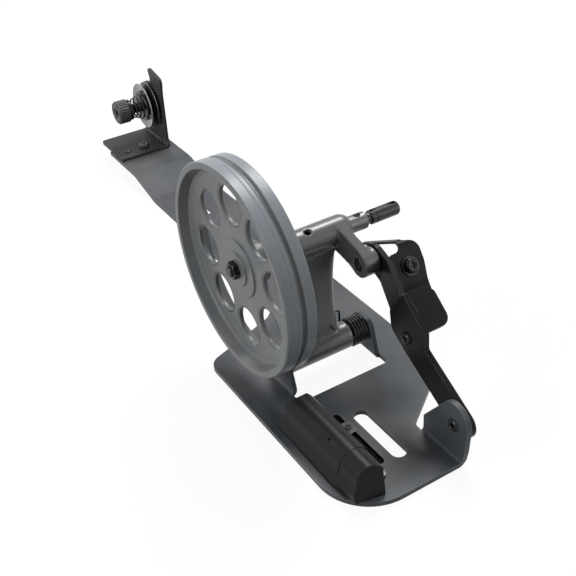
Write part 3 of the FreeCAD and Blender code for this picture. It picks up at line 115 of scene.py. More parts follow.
def seenDirectly(nodeTree):
    # 1 for the camera and for what mirrors and glass show, 0 for the light that bounces
    path = addNode(nodeTree, "ShaderNodeLightPath")
    first = addNode(nodeTree, "ShaderNodeMath", operation="MAXIMUM")
    second = addNode(nodeTree, "ShaderNodeMath", operation="MAXIMUM")
    nodeTree.links.new(path.outputs["Is Camera Ray"], first.inputs[0])
    nodeTree.links.new(path.outputs["Is Glossy Ray"], first.inputs[1])
    nodeTree.links.new(first.outputs[0], second.inputs[0])
    nodeTree.links.new(path.outputs["Is Transmission Ray"], second.inputs[1])
    return second.outputs[0]


def buildWorld(values):
    world = bpy.data.worlds.new("studio")
    bpy.context.scene.world = world
    world.use_nodes = True
    nodeTree = world.node_tree
    nodeTree.nodes.clear()
    soft = addNode(nodeTree, "ShaderNodeBackground")
    soft.inputs["Color"].default_value = (1, 1, 1, 1)
    soft.inputs["Strength"].default_value = values["worldLevel"]
    white = addNode(nodeTree, "ShaderNodeBackground")
    white.inputs["Color"].default_value = (1, 1, 1, 1)
    white.inputs["Strength"].default_value = 1.0
    mix = addNode(nodeTree, "ShaderNodeMixShader")
    out = addNode(nodeTree, "ShaderNodeOutputWorld")
    nodeTree.links.new(seenDirectly(nodeTree), mix.inputs[0])
    nodeTree.links.new(soft.outputs[0], mix.inputs[1])
    nodeTree.links.new(white.outputs[0], mix.inputs[2])
    nodeTree.links.new(mix.outputs[0], out.inputs[0])


def buildFloor(values):
    half, z = values["floorSize"] / 2, -values["floorDrop"]
    mesh = bpy.data.meshes.new("floor")
    mesh.from_pydata([(-half, -half, z), (half, -half, z), (half, half, z), (-half, half, z)], [], [(0, 1, 2, 3)])
    floor = linked("floor", mesh)
    paint = bpy.data.materials.new("floorPaint")
    nodeTree = tree(paint)
    link = nodeTree.links.new
    seen = seenDirectly(nodeTree)
    shade = addNode(nodeTree, "ShaderNodeMix", data_type="RGBA")  # the floor throws back less light than it shows
    shade.inputs[6].default_value = (values["floorBounce"],) * 3 + (1,)
    shade.inputs[7].default_value = (values["floorPaint"],) * 3 + (1,)
    matt = addNode(nodeTree, "ShaderNodeBsdfDiffuse")
    glow = addNode(nodeTree, "ShaderNodeEmission")
    share = addNode(nodeTree, "ShaderNodeMath", operation="MULTIPLY")
    share.inputs[1].default_value = values["floorGlow"]
    mix = addNode(nodeTree, "ShaderNodeMixShader")
    out = addNode(nodeTree, "ShaderNodeOutputMaterial")
    link(seen, shade.inputs["Factor"])
    link(shade.outputs[2], matt.inputs["Color"])
    link(seen, share.inputs[0])
    link(share.outputs[0], mix.inputs[0])
    link(matt.outputs[0], mix.inputs[1])
    link(glow.outputs[0], mix.inputs[2])
    link(mix.outputs[0], out.inputs[0])
    mesh.materials.append(paint)


def hangLamps(values):
    for name, place, size, power in values["lamps"]:
        lamp = bpy.data.lights.new(name, "AREA")
        lamp.size = size
        lamp.energy = power
        holder = linked(name, lamp)
        holder.location = place
        aim = Vector(values["aim"]) - Vector(place)
        holder.rotation_euler = aim.to_track_quat("-Z", "Y").to_euler()


buildWorld(studio)
buildFloor(studio)
hangLamps(studio)
bpy.context.scene.view_settings.view_transform = "Standard"
print("studio built")

# shader groups


def newGroup(name, inputs, outputs):
    group = bpy.data.node_groups.new(name, "ShaderNodeTree")
    for label, kind, value in inputs:
        socket = group.interface.new_socket(name=label, in_out="INPUT", socket_type=kind)
        if value is not None:
            socket.default_value = value
    for label, kind in outputs:
        group.interface.new_socket(name=label, in_out="OUTPUT", socket_type=kind)
    start = addNode(group, "NodeGroupInput")
    stop = addNode(group, "NodeGroupOutput")
    return group, start, stop


wearAndGlintLook = {"flat": 0.995, "sharp": 0.86, "patchFrom": 0.3, "patchTo": 0.62}  # the turn of an edge that is lightened for wear and as a painted highlight, and its gaps


def edgeWearAndGlintGroup():
    # a mask that is 1 on outer edges and 0 on flats; the finishes lighten these edges partly for wear, partly as a
    # painted highlight
    group, start, stop = newGroup("edgeWearAndGlint", [("Radius", "NodeSocketFloat", 0.0004),
                                               ("Amount", "NodeSocketFloat", 1.0), ("Patch Scale", "NodeSocketFloat",
                                                                                    180.0)],
                                               [("Mask", "NodeSocketFloat")])
    link = group.links.new
    bevel = addNode(group, "ShaderNodeBevel", samples=4)
    geometry = addNode(group, "ShaderNodeNewGeometry")
    dot = addNode(group, "ShaderNodeVectorMath", operation="DOT_PRODUCT")
    rise = addNode(group, "ShaderNodeMapRange")
    rise.inputs["From Min"].default_value = wearAndGlintLook["flat"]
    rise.inputs["From Max"].default_value = wearAndGlintLook["sharp"]
    place = addNode(group, "ShaderNodeTexCoord")
    noise = addNode(group, "ShaderNodeTexNoise")
    noise.inputs["Detail"].default_value = 4.0
    spread = addNode(group, "ShaderNodeMapRange")
    spread.inputs["From Min"].default_value = wearAndGlintLook["patchFrom"]
    spread.inputs["From Max"].default_value = wearAndGlintLook["patchTo"]
    times = addNode(group, "ShaderNodeMath", operation="MULTIPLY")
    amount = addNode(group, "ShaderNodeMath", operation="MULTIPLY", use_clamp=True)
    link(start.outputs["Radius"], bevel.inputs["Radius"])
    link(bevel.outputs[0], dot.inputs[0])
    link(geometry.outputs["Normal"], dot.inputs[1])
    link(dot.outputs["Value"], rise.inputs["Value"])
    link(place.outputs["Object"], noise.inputs["Vector"])
    link(start.outputs["Patch Scale"], noise.inputs["Scale"])
    link(noise.outputs["Fac"], spread.inputs["Value"])
    link(rise.outputs[0], times.inputs[0])
    link(spread.outputs[0], times.inputs[1])
    link(times.outputs[0], amount.inputs[0])
    link(start.outputs["Amount"], amount.inputs[1])
    link(amount.outputs[0], stop.inputs["Mask"])
    return group


def mottleGroup():
    # two colours in soft patches, as an uneven coat or a cast skin has them
    group, start, stop = newGroup("mottle", [("First", "NodeSocketColor", None), ("Second", "NodeSocketColor", None),
                                             ("Scale", "NodeSocketFloat", 30.0), ("Contrast", "NodeSocketFloat",
                                                                                  1.0)],
                                  [("Color", "NodeSocketColor"), ("Mask", "NodeSocketFloat")])
    link = group.links.new
    place = addNode(group, "ShaderNodeTexCoord")
    noise = addNode(group, "ShaderNodeTexNoise")
    noise.inputs["Detail"].default_value = 3.0
    noise.inputs["Roughness"].default_value = 0.45
    noise.inputs["Distortion"].default_value = 0.6
    centre = addNode(group, "ShaderNodeMath", operation="SUBTRACT")
    centre.inputs[1].default_value = 0.5
    stretch = addNode(group, "ShaderNodeMath", operation="MULTIPLY_ADD", use_clamp=True)
    stretch.inputs[2].default_value = 0.5
    mix = addNode(group, "ShaderNodeMix", data_type="RGBA")
    link(place.outputs["Object"], noise.inputs["Vector"])
    link(start.outputs["Scale"], noise.inputs["Scale"])
    link(noise.outputs["Fac"], centre.inputs[0])
    link(centre.outputs[0], stretch.inputs[0])
    link(start.outputs["Contrast"], stretch.inputs[1])
    link(stretch.outputs[0], mix.inputs["Factor"])
    link(start.outputs["First"], mix.inputs[6])
    link(start.outputs["Second"], mix.inputs[7])
    link(mix.outputs[2], stop.inputs["Color"])
    link(stretch.outputs[0], stop.inputs["Mask"])
    return group


def grainGroup():
    # fine height and a fine value, for paint grain and cast skin
    group, start, stop = newGroup("grain", [("Fine Scale", "NodeSocketFloat", 3000.0),
                                            ("Coarse Scale", "NodeSocketFloat", 700.0),
                                            ("Coarse Share", "NodeSocketFloat", 0.5)],
                                  [("Height", "NodeSocketFloat")])
    link = group.links.new
    place = addNode(group, "ShaderNodeTexCoord")
    fine = addNode(group, "ShaderNodeTexNoise")
    fine.inputs["Detail"].default_value = 2.0
    coarse = addNode(group, "ShaderNodeTexNoise")
    coarse.inputs["Detail"].default_value = 3.0
    mix = addNode(group, "ShaderNodeMix", data_type="FLOAT")
    link(place.outputs["Object"], fine.inputs["Vector"])
    link(place.outputs["Object"], coarse.inputs["Vector"])
    link(start.outputs["Fine Scale"], fine.inputs["Scale"])
    link(start.outputs["Coarse Scale"], coarse.inputs["Scale"])
    link(start.outputs["Coarse Share"], mix.inputs["Factor"])
    link(fine.outputs["Fac"], mix.inputs[2])
    link(coarse.outputs["Fac"], mix.inputs[3])
    link(mix.outputs[0], stop.inputs["Height"])
    return group


def axisReach(group, start):
    # how far a point lies along a line that runs along X, and how far out from it
    link = group.links.new
    place = addNode(group, "ShaderNodeTexCoord")
    move = addNode(group, "ShaderNodeVectorMath", operation="SUBTRACT")
    split = addNode(group, "ShaderNodeSeparateXYZ")
    flat = addNode(group, "ShaderNodeCombineXYZ")
    length = addNode(group, "ShaderNodeVectorMath", operation="LENGTH")
    link(place.outputs["Object"], move.inputs[0])
    link(start.outputs["Centre"], move.inputs[1])
    link(move.outputs[0], split.inputs[0])
    link(split.outputs["Y"], flat.inputs["Y"])
    link(split.outputs["Z"], flat.inputs["Z"])
    link(flat.outputs[0], length.inputs[0])
    return split.outputs["X"], length.outputs["Value"]


def turnedGroup():
    # rings about a line that runs along X, as a lathe tool leaves them
    group, start, stop = newGroup("turnedRings",
                                  [("Centre", "NodeSocketVector", None), ("Ring Scale", "NodeSocketFloat", 2500.0)],
                                  [("Height", "NodeSocketFloat")])
    link = group.links.new
    along, reach = axisReach(group, start)
    both = addNode(group, "ShaderNodeCombineXYZ")
    noise = addNode(group, "ShaderNodeTexNoise")
    noise.inputs["Detail"].default_value = 3.0
    link(reach, both.inputs["X"])
    link(along, both.inputs["Y"])
    link(both.outputs[0], noise.inputs["Vector"])
    link(start.outputs["Ring Scale"], noise.inputs["Scale"])
    link(noise.outputs["Fac"], stop.inputs["Height"])
    return group


def bandGroup():
    # a mask that is 1 on the turned outer band of a wheel about a line along X
    group, start, stop = newGroup("outerBand",
                                  [("Centre", "NodeSocketVector", None), ("From Radius", "NodeSocketFloat", 0.04),
                                                ("From X", "NodeSocketFloat", 0.0)], [("Mask", "NodeSocketFloat")])
    link = group.links.new
    along, reach = axisReach(group, start)
    outside = addNode(group, "ShaderNodeMath", operation="GREATER_THAN")
    behind = addNode(group, "ShaderNodeMath", operation="GREATER_THAN")
    both = addNode(group, "ShaderNodeMath", operation="MULTIPLY")
    link(reach, outside.inputs[0])
    link(start.outputs["From Radius"], outside.inputs[1])
    link(along, behind.inputs[0])
    link(start.outputs["From X"], behind.inputs[1])
    link(outside.outputs[0], both.inputs[0])
    link(behind.outputs[0], both.inputs[1])
    link(both.outputs[0], stop.inputs["Mask"])
    return group


edgeWearAndGlint = edgeWearAndGlintGroup()
mottle = mottleGroup()
grain = grainGroup()
turnedRings = turnedGroup()
outerBand = bandGroup()


def finish(name, first, second, rough=0.45, roughSpread=0.1, metal=0.0, edge=None, edgeAmount=0.6, edgeRadius=0.0004,
           patch=25.0, contrast=1.6, tint=None, tintPatch=18.0, bump=0.2, bumpDepth=0.00005, fine=3000.0,
           coarse=700.0, share=0.5, rings=None, ringScale=2500.0, specular=0.3, band=None, tintContrast=4.0,
           grainSpan=(0.3, 0.7)):
    # a mottled colour, a tint in patches, edges lightened partly for wear and partly as a painted highlight, uneven
    # gloss and a fine grained or turned surface
    material = bpy.data.materials.new(name)
    nodeTree = tree(material)
    link = nodeTree.links.new
    shader = addNode(nodeTree, "ShaderNodeBsdfPrincipled")
    out = addNode(nodeTree, "ShaderNodeOutputMaterial")
    link(shader.outputs[0], out.inputs[0])
    patches = addNode(nodeTree, "ShaderNodeGroup", node_tree=mottle)
    patches.inputs["First"].default_value = first
    patches.inputs["Second"].default_value = second
    patches.inputs["Scale"].default_value = patch
    patches.inputs["Contrast"].default_value = contrast
    colour = patches.outputs["Color"]
    if tint:
        stain = addNode(nodeTree, "ShaderNodeGroup", node_tree=mottle)
        stain.inputs["First"].default_value = (1, 1, 1, 1)
        stain.inputs["Second"].default_value = tint
        stain.inputs["Scale"].default_value = tintPatch
        stain.inputs["Contrast"].default_value = tintContrast
        blend = addNode(nodeTree, "ShaderNodeMix", data_type="RGBA", blend_type="MULTIPLY")
        blend.inputs["Factor"].default_value = 1.0
        link(colour, blend.inputs[6])
        link(stain.outputs["Color"], blend.inputs[7])
        colour = blend.outputs[2]
    if band:
        turned = addNode(nodeTree, "ShaderNodeGroup", node_tree=outerBand)
        turned.inputs["Centre"].default_value = band[0]
        turned.inputs["From Radius"].default_value = band[1]
        turned.inputs["From X"].default_value = band[2]
        bright = addNode(nodeTree, "ShaderNodeMix", data_type="RGBA")
        bright.inputs[7].default_value = band[3]
        link(turned.outputs["Mask"], bright.inputs["Factor"])
        link(colour, bright.inputs[6])
        colour = bright.outputs[2]
    # the edge colour mixed in here is partly wear, partly a painted highlight on the rims
    wearAndGlint = addNode(nodeTree, "ShaderNodeGroup", node_tree=edgeWearAndGlint)
    wearAndGlint.inputs["Radius"].default_value = edgeRadius
    wearAndGlint.inputs["Amount"].default_value = edgeAmount
    mix = addNode(nodeTree, "ShaderNodeMix", data_type="RGBA")
    mix.inputs[7].default_value = edge or first
    link(wearAndGlint.outputs["Mask"], mix.inputs["Factor"])
    link(colour, mix.inputs[6])
    link(mix.outputs[2], shader.inputs["Base Color"])
    skin = addNode(nodeTree, "ShaderNodeGroup", node_tree=grain)
    skin.inputs["Fine Scale"].default_value = fine
    skin.inputs["Coarse Scale"].default_value = coarse
    skin.inputs["Coarse Share"].default_value = share
    gloss = addNode(nodeTree, "ShaderNodeMapRange")
    gloss.inputs["From Min"].default_value = grainSpan[0]
    gloss.inputs["From Max"].default_value = grainSpan[1]
    gloss.inputs["To Min"].default_value = rough - roughSpread / 2
    gloss.inputs["To Max"].default_value = rough + roughSpread / 2
    link(skin.outputs["Height"], gloss.inputs["Value"])
    link(gloss.outputs[0], shader.inputs["Roughness"])
    shader.inputs["Metallic"].default_value = metal
    shader.inputs["Specular IOR Level"].default_value = specular
    press = addNode(nodeTree, "ShaderNodeBump")
    press.inputs["Strength"].default_value = bump
    press.inputs["Distance"].default_value = bumpDepth
    height = skin.outputs["Height"]
    if rings:
        lathe = addNode(nodeTree, "ShaderNodeGroup", node_tree=turnedRings)
        lathe.inputs["Centre"].default_value = rings
        lathe.inputs["Ring Scale"].default_value = ringScale
        height = lathe.outputs["Height"]
    link(height, press.inputs["Height"])
    link(press.outputs[0], shader.inputs["Normal"])
    return material


spindleAxis = (0.0, 0.0, 0.0565)
tensionAxis = (0.0, 0.219, 0.0308)
swingAxis = (0.0, -0.0075, 0.0116)
finishes = {
    "plate_finish": finish("plateCoat", grey(92, (1, 0, 2)), grey(72, (0, 0, 2)), rough=0.44, metal=0.0,
                           edge=grey(128), edgeAmount=0.9, edgeRadius=0.0006, patch=34.0, contrast=2.6,
                           tint=(0.62, 0.76, 0.84, 1), tintPatch=30.0, bump=0.1, specular=0.18),
    "casting_finish": finish("castingCoat", grey(100, (-1, 1, 1)), grey(88, (-1, 1, 1)), rough=0.28, metal=0.0,
                             edge=grey(136), edgeAmount=0.5, patch=50.0, bump=0.12, coarse=900.0, specular=0.5),
    "wheel_finish": finish("wheelCoat", grey(110), grey(98), rough=0.36, metal=0.0, edge=grey(150), edgeAmount=0.7,
                           patch=70.0, tint=(0.86, 0.95, 1.0, 1), tintPatch=34.0, bump=0.35, coarse=1300.0,
                           specular=0.3, band=(spindleAxis, 0.0417, 0.0003, grey(138, (-6, 0, 6)))),
    "plain_steel": finish("plainSteel", grey(52), grey(70), rough=0.3, metal=0.6, edge=grey(130), patch=300.0,
                          bump=0.1),
    "collar_steel": finish("collarSteel", grey(96), grey(116), rough=0.36, metal=0.4, edge=grey(140),
                           edgeAmount=0.15, patch=200.0, rings=spindleAxis),
    "dark_spindle": finish("darkSpindle", grey(46), grey(58), rough=0.3, metal=0.3, edge=grey(120), patch=250.0,
                           rings=spindleAxis),
    # the light edge colour of the black steel is partly wear, partly a painted glint on screw and pin rims
    "black_steel": finish("blackSteel", grey(26), grey(34), rough=0.24, metal=0.2, edge=grey(110), edgeAmount=0.7,
                          edgeRadius=0.0003, patch=300.0, bump=0.1, specular=0.2),
    "black_lever": finish("blackLever", grey(28), grey(34), rough=0.34, metal=0.0, edge=grey(100), edgeAmount=0.9,
                          patch=60.0, bump=0.12, specular=0.09),
    "black_wire": finish("blackWire", grey(20), grey(28), rough=0.3, metal=0.0, edge=grey(40), patch=400.0,
                         bump=0.05, specular=0.25),
    # the light edge colour of the rivets is partly wear, partly a painted glint on their rims
    "grey_rivet": finish("greyRivet", grey(30), grey(42), rough=0.26, metal=0.2, edge=grey(130), edgeAmount=0.9,
                         patch=300.0, bump=0.2, specular=0.2),
    "bush_bronze": finish("bushBronze", grey(110, (10, -5, -40)), grey(130, (12, -6, -45)), rough=0.45, metal=0.8,
                          patch=200.0),
    "brake_rubber": finish("brakeRubber", grey(28), grey(35), rough=0.34, edge=grey(84), edgeAmount=0.5, patch=80.0,
                           bump=0.2, specular=0.12),
    "bracket_finish": finish("bracketCoat", grey(50), grey(60), rough=0.42, metal=0.0, edge=grey(100),
                             edgeAmount=0.8, patch=50.0, bump=0.2, specular=0.1),
    # both discs take a near-white edge colour at full amount: a painted highlight along their rims
    "bright_disc": finish("brightDisc", grey(110), grey(140), rough=0.2, metal=0.8, edge=grey(225), edgeAmount=1.0,
                          patch=200.0, rings=tensionAxis),
    "dark_disc": finish("darkDisc", grey(60), grey(80), rough=0.25, metal=0.6, edge=grey(225), edgeAmount=1.0,
                        patch=200.0, rings=tensionAxis),
    "slotShade": finish("slotShade", grey(10), grey(16), rough=0.6, edge=grey(20), patch=200.0, specular=0.03),
    "nut_finish": finish("nutPlate", grey(46), grey(56), rough=0.4, metal=0.1, edge=grey(84), patch=300.0,
                         rings=tensionAxis),
}
print("finishes made", len(finishes))

# geometry trees
mm = 0.001
treeWeld, cadWeld = 2e-6, 1e-6  # corners nearer than this become one
flatWeight = 80  # how much the larger faces lead the shading


def newTree(name, inputs):
    group = bpy.data.node_groups.new(name, "GeometryNodeTree")
    group.interface.new_socket(name="Geometry", in_out="INPUT", socket_type="NodeSocketGeometry")
    for label, kind, value in inputs:
        socket = group.interface.new_socket(name=label, in_out="INPUT", socket_type=kind)
        if value is not None:
            socket.default_value = value
    group.interface.new_socket(name="Geometry", in_out="OUTPUT", socket_type="NodeSocketGeometry")
    return group, addNode(group, "NodeGroupInput"), addNode(group, "NodeGroupOutput")


def endTree(group, shape, start, stop):
    real = addNode(group, "GeometryNodeRealizeInstances")
    coat = addNode(group, "GeometryNodeSetMaterial")
    group.links.new(shape, real.inputs["Geometry"])
    group.links.new(real.outputs["Geometry"], coat.inputs["Geometry"])
    group.links.new(start.outputs["Material"], coat.inputs["Material"])
    group.links.new(coat.outputs["Geometry"], stop.inputs["Geometry"])
    return group


def turnedTree():
    # sweeps a closed profile round a line along X, then cuts ridges and a thread into it
    group, start, stop = newTree("turnedPart", [
        ("Segments", "NodeSocketInt", 96), ("Round", "NodeSocketFloat", 0.0002),
        ("Path Radius", "NodeSocketFloat", 0.01), ("Axis", "NodeSocketVector", None),
        ("Ridges", "NodeSocketFloat", 24.0), ("Ridge Depth", "NodeSocketFloat", 0.0),
        ("Ridge From", "NodeSocketFloat", 0.0), ("Ridge To", "NodeSocketFloat", 0.0),
        ("Ridge Above", "NodeSocketFloat", 1.0), ("Thread Pitch", "NodeSocketFloat", 0.0005),
        ("Thread Share", "NodeSocketFloat", 0.0), ("Material", "NodeSocketMaterial", None)])
    link = group.links.new
    line = addNode(group, "GeometryNodeMeshToCurve")
    soften = addNode(group, "GeometryNodeFilletCurve", mode="POLY")
    soften.inputs["Count"].default_value = 2
    soften.inputs["Limit Radius"].default_value = True
    path = addNode(group, "GeometryNodeCurvePrimitiveCircle")
    sweep = addNode(group, "GeometryNodeCurveToMesh")
    place = addNode(group, "GeometryNodeTransform")
    place.inputs["Rotation"].default_value = (0, math.pi / 2, 0)
    link(start.outputs["Geometry"], line.inputs[0])
    link(line.outputs[0], soften.inputs["Curve"])
    link(start.outputs["Round"], soften.inputs["Radius"])
    link(start.outputs["Segments"], path.inputs["Resolution"])
    link(start.outputs["Path Radius"], path.inputs["Radius"])
    link(path.outputs[0], sweep.inputs["Curve"])
    link(soften.outputs[0], sweep.inputs["Profile Curve"])
    link(sweep.outputs[0], place.inputs["Geometry"])

    def math2(operation, a, b):
        node = addNode(group, "ShaderNodeMath", operation=operation)
        for socket, value in zip(node.inputs, (a, b)):
            if isinstance(value, (int, float)):
                socket.default_value = value
            elif value is not None:
                link(value, socket)
        return node.outputs[0]

    spot = addNode(group, "GeometryNodeInputPosition")
    split = addNode(group, "ShaderNodeSeparateXYZ")
    link(spot.outputs[0], split.inputs[0])
    x, y, z = split.outputs
    angle = math2("ARCTAN2", z, y)
    wave = math2("MULTIPLY_ADD", math2("COSINE", math2("MULTIPLY", angle, start.outputs["Ridges"]), None), 0.5)
    radius = math2("SQRT", math2("ADD", math2("MULTIPLY", y, y), math2("MULTIPLY", z, z)), None)
    inRun = math2("MULTIPLY", math2("GREATER_THAN", x, start.outputs["Ridge From"]),
                  math2("LESS_THAN", x, start.outputs["Ridge To"]))
    onSkin = math2("MULTIPLY", inRun, math2("GREATER_THAN", radius, start.outputs["Ridge Above"]))
    turn = math2("ADD", math2("DIVIDE", x, start.outputs["Thread Pitch"]), math2("DIVIDE", angle, 2 * math.pi))
    screw = math2("PINGPONG", turn, 0.5)
    both = addNode(group, "ShaderNodeMix", data_type="FLOAT")
    link(start.outputs["Thread Share"], both.inputs["Factor"])
    link(wave, both.inputs[2])
    link(screw, both.inputs[3])
    depth = math2("MULTIPLY", math2("MULTIPLY", both.outputs[0], onSkin), start.outputs["Ridge Depth"])
    shrink = math2("SUBTRACT", 1.0, math2("DIVIDE", depth, math2("MAXIMUM", radius, 1e-6)))
    join = addNode(group, "ShaderNodeCombineXYZ")
    link(x, join.inputs[0])
    link(math2("MULTIPLY", y, shrink), join.inputs[1])
    link(math2("MULTIPLY", z, shrink), join.inputs[2])
    cut = addNode(group, "GeometryNodeSetPosition")
    link(place.outputs[0], cut.inputs["Geometry"])
    link(join.outputs[0], cut.inputs["Position"])
    shift = addNode(group, "GeometryNodeTransform")
    link(cut.outputs[0], shift.inputs["Geometry"])
    link(start.outputs["Axis"], shift.inputs["Translation"])
    return endTree(group, shift.outputs[0], start, stop)


webSteps = {"outer": 128, "inner": 96, "hole": 64, "lipSpan": 2.4, "lipShift": 1.2}  # segments, and sizes in lips


def webTree():
    # a flat disc with a ring of holes whose lips are rounded
    group, start, stop = newTree("holedWeb", [
        ("Outer Radius", "NodeSocketFloat", 0.034), ("Inner Radius", "NodeSocketFloat", 0.01),
        ("Thickness", "NodeSocketFloat", 0.002), ("Front", "NodeSocketFloat", 0.005), ("Holes", "NodeSocketInt", 8),
        ("Hole Circle", "NodeSocketFloat", 0.025), ("Hole Radius", "NodeSocketFloat", 0.0075),
        ("First Hole", "NodeSocketFloat", 0.0), ("Lip", "NodeSocketFloat", 0.0006),
        ("Axis", "NodeSocketVector", None), ("Material", "NodeSocketMaterial", None)])
    link = group.links.new

    def circle(radius, resolution):
        node = addNode(group, "GeometryNodeCurvePrimitiveCircle")
        node.inputs["Resolution"].default_value = resolution
        link(radius, node.inputs["Radius"])
        return node.outputs[0]

    ring = addNode(group, "GeometryNodeCurvePrimitiveCircle")
    link(start.outputs["Holes"], ring.inputs["Resolution"])
    link(start.outputs["Hole Circle"], ring.inputs["Radius"])
    spin = addNode(group, "GeometryNodeTransform")
    turn = addNode(group, "ShaderNodeCombineXYZ")
    link(start.outputs["First Hole"], turn.inputs[2])
    link(ring.outputs[0], spin.inputs["Geometry"])
    link(turn.outputs[0], spin.inputs["Rotation"])
    points = addNode(group, "GeometryNodeCurveToPoints", mode="EVALUATED")
    link(spin.outputs[0], points.inputs[0])

    wide = addNode(group, "ShaderNodeMath", operation="ADD")
    link(start.outputs["Hole Radius"], wide.inputs[0])
    link(start.outputs["Lip"], wide.inputs[1])
    edges = addNode(group, "GeometryNodeInstanceOnPoints")
    link(points.outputs[0], edges.inputs["Points"])
    link(circle(wide.outputs[0], webSteps["hole"]), edges.inputs["Instance"])
    outline = addNode(group, "GeometryNodeJoinGeometry")
    link(circle(start.outputs["Outer Radius"], webSteps["outer"]), outline.inputs[0])
    link(circle(start.outputs["Inner Radius"], webSteps["inner"]), outline.inputs[0])
    flat = addNode(group, "GeometryNodeRealizeInstances")
    link(edges.outputs[0], flat.inputs[0])
    link(flat.outputs[0], outline.inputs[0])
    fill = addNode(group, "GeometryNodeFillCurve")
    link(outline.outputs[0], fill.inputs[0])
    rise = addNode(group, "GeometryNodeExtrudeMesh", mode="FACES")
    rise.inputs["Individual"].default_value = False
    up = addNode(group, "ShaderNodeCombineXYZ")
    link(start.outputs["Thickness"], up.inputs[2])
    link(fill.outputs[0], rise.inputs["Mesh"])
    link(up.outputs[0], rise.inputs["Offset"])
    back = addNode(group, "GeometryNodeFlipFaces")
    link(fill.outputs[0], back.inputs[0])

    half = addNode(group, "ShaderNodeMath", operation="MULTIPLY")
    half.inputs[1].default_value = 0.5
    link(start.outputs["Thickness"], half.inputs[0])
    profile = addNode(group, "GeometryNodeCurvePrimitiveQuadrilateral", mode="RECTANGLE")
    double = addNode(group, "ShaderNodeMath", operation="MULTIPLY")
    double.inputs[1].default_value = webSteps["lipSpan"]
    link(start.outputs["Lip"], double.inputs[0])
    link(double.outputs[0], profile.inputs["Width"])
    link(start.outputs["Thickness"], profile.inputs["Height"])
    soft = addNode(group, "GeometryNodeFilletCurve", mode="POLY")
    soft.inputs["Count"].default_value = 4
    link(profile.outputs[0], soft.inputs["Curve"])
    link(start.outputs["Lip"], soft.inputs["Radius"])
    lipPath = addNode(group, "ShaderNodeMath", operation="MULTIPLY_ADD")
    lipPath.inputs[1].default_value = webSteps["lipShift"]
    link(start.outputs["Lip"], lipPath.inputs[0])
    link(start.outputs["Hole Radius"], lipPath.inputs[2])
    lip = addNode(group, "GeometryNodeCurveToMesh")
    link(circle(lipPath.outputs[0], webSteps["hole"]), lip.inputs["Curve"])
    link(soft.outputs[0], lip.inputs["Profile Curve"])
    lips = addNode(group, "GeometryNodeInstanceOnPoints")
    link(points.outputs[0], lips.inputs["Points"])
    link(lip.outputs[0], lips.inputs["Instance"])
    middle = addNode(group, "ShaderNodeCombineXYZ")
    link(half.outputs[0], middle.inputs[2])
    raised = addNode(group, "GeometryNodeTransform")
    link(lips.outputs[0], raised.inputs["Geometry"])
    link(middle.outputs[0], raised.inputs["Translation"])

    whole = addNode(group, "GeometryNodeJoinGeometry")
    for part in (rise.outputs["Mesh"], back.outputs[0], raised.outputs[0]):
        link(part, whole.inputs[0])
    lift = addNode(group, "ShaderNodeCombineXYZ")
    link(start.outputs["Front"], lift.inputs[2])
    first = addNode(group, "GeometryNodeTransform")
    link(whole.outputs[0], first.inputs["Geometry"])
    link(lift.outputs[0], first.inputs["Translation"])
    second = addNode(group, "GeometryNodeTransform")
    second.inputs["Rotation"].default_value = (0, math.pi / 2, 0)
    link(first.outputs[0], second.inputs["Geometry"])
    link(start.outputs["Axis"], second.inputs["Translation"])
    return endTree(group, second.outputs[0], start, stop)


def plainMesh(piece):
    # the piece's mesh with its modifiers worked in, and the modifiers gone
    done = bpy.data.meshes.new_from_object(piece.evaluated_get(bpy.context.evaluated_depsgraph_get()))
    piece.modifiers.clear()
    return done


def grow(name, base, group, values, material):
    # runs a geometry tree on a base mesh and keeps the result as a plain mesh
    piece = linked(name, base)
    maker = piece.modifiers.new("make", "NODES")
    maker.node_group = group
    values = dict(values, Material=material)
    for item in group.interface.items_tree:
        if item.in_out == "INPUT" and item.name in values:
            maker[item.identifier] = values[item.name]
    done = plainMesh(piece)
    bpy.data.objects.remove(piece)
    shape = bmesh.new()
    shape.from_mesh(done)
    bmesh.ops.remove_doubles(shape, verts=shape.verts, dist=treeWeld)
    bmesh.ops.recalc_face_normals(shape, faces=shape.faces)
    shape.to_mesh(done)
    shape.free()
    return done


def joined(name, meshes, material, smoothAngle=35):
    # one object from several plain meshes
    shape = bmesh.new()
    for mesh in meshes:
        shape.from_mesh(mesh)
    mesh = bpy.data.meshes.new(name)
    shape.to_mesh(mesh)
    shape.free()
    mesh.materials.append(material)
    piece = linked(name, mesh)
    smoothFlat(piece, smoothAngle)
    return piece


def smoothFlat(piece, smoothAngle):
    # smooth shading that keeps flats flat and turns only at sharp edges
    piece.data.shade_smooth()
    piece.data.set_sharp_from_angle(angle=math.radians(smoothAngle))
    even = piece.modifiers.new("even", "WEIGHTED_NORMAL")
    even.mode = "FACE_AREA_WITH_ANGLE"
    even.weight = flatWeight
    even.keep_sharp = True
    graph = bpy.context.evaluated_depsgraph_get()
    done = bpy.data.meshes.new_from_object(piece.evaluated_get(graph), preserve_all_data_layers=True, depsgraph=graph)
    piece.modifiers.clear()
    piece.data = done


def profileMesh(name, points, pathRadius):
    # a closed profile given as (x, radius) in millimetres, laid out for the sweep
    mesh = bpy.data.meshes.new(name)
    spots = [((radius - pathRadius) * mm, -x * mm, 0) for x, radius in points]
    mesh.from_pydata(spots, [(i, (i + 1) % len(spots)) for i in range(len(spots))], [])
    return mesh


turnedPart = turnedTree()
holedWeb = webTree()


def turnedMesh(name, points, axis, slot, pathRadius=10.0, **values):
    inputs = {"Path Radius": pathRadius * mm, "Axis": axis}
    inputs.update(values)
    return grow(name, profileMesh(name, points, pathRadius), turnedPart, inputs, finishes[slot])


def standFor(piece, node):
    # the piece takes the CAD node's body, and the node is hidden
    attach(piece, nodeBody[node])
    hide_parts(node)
    print(node, "made", len(piece.data.polygons))


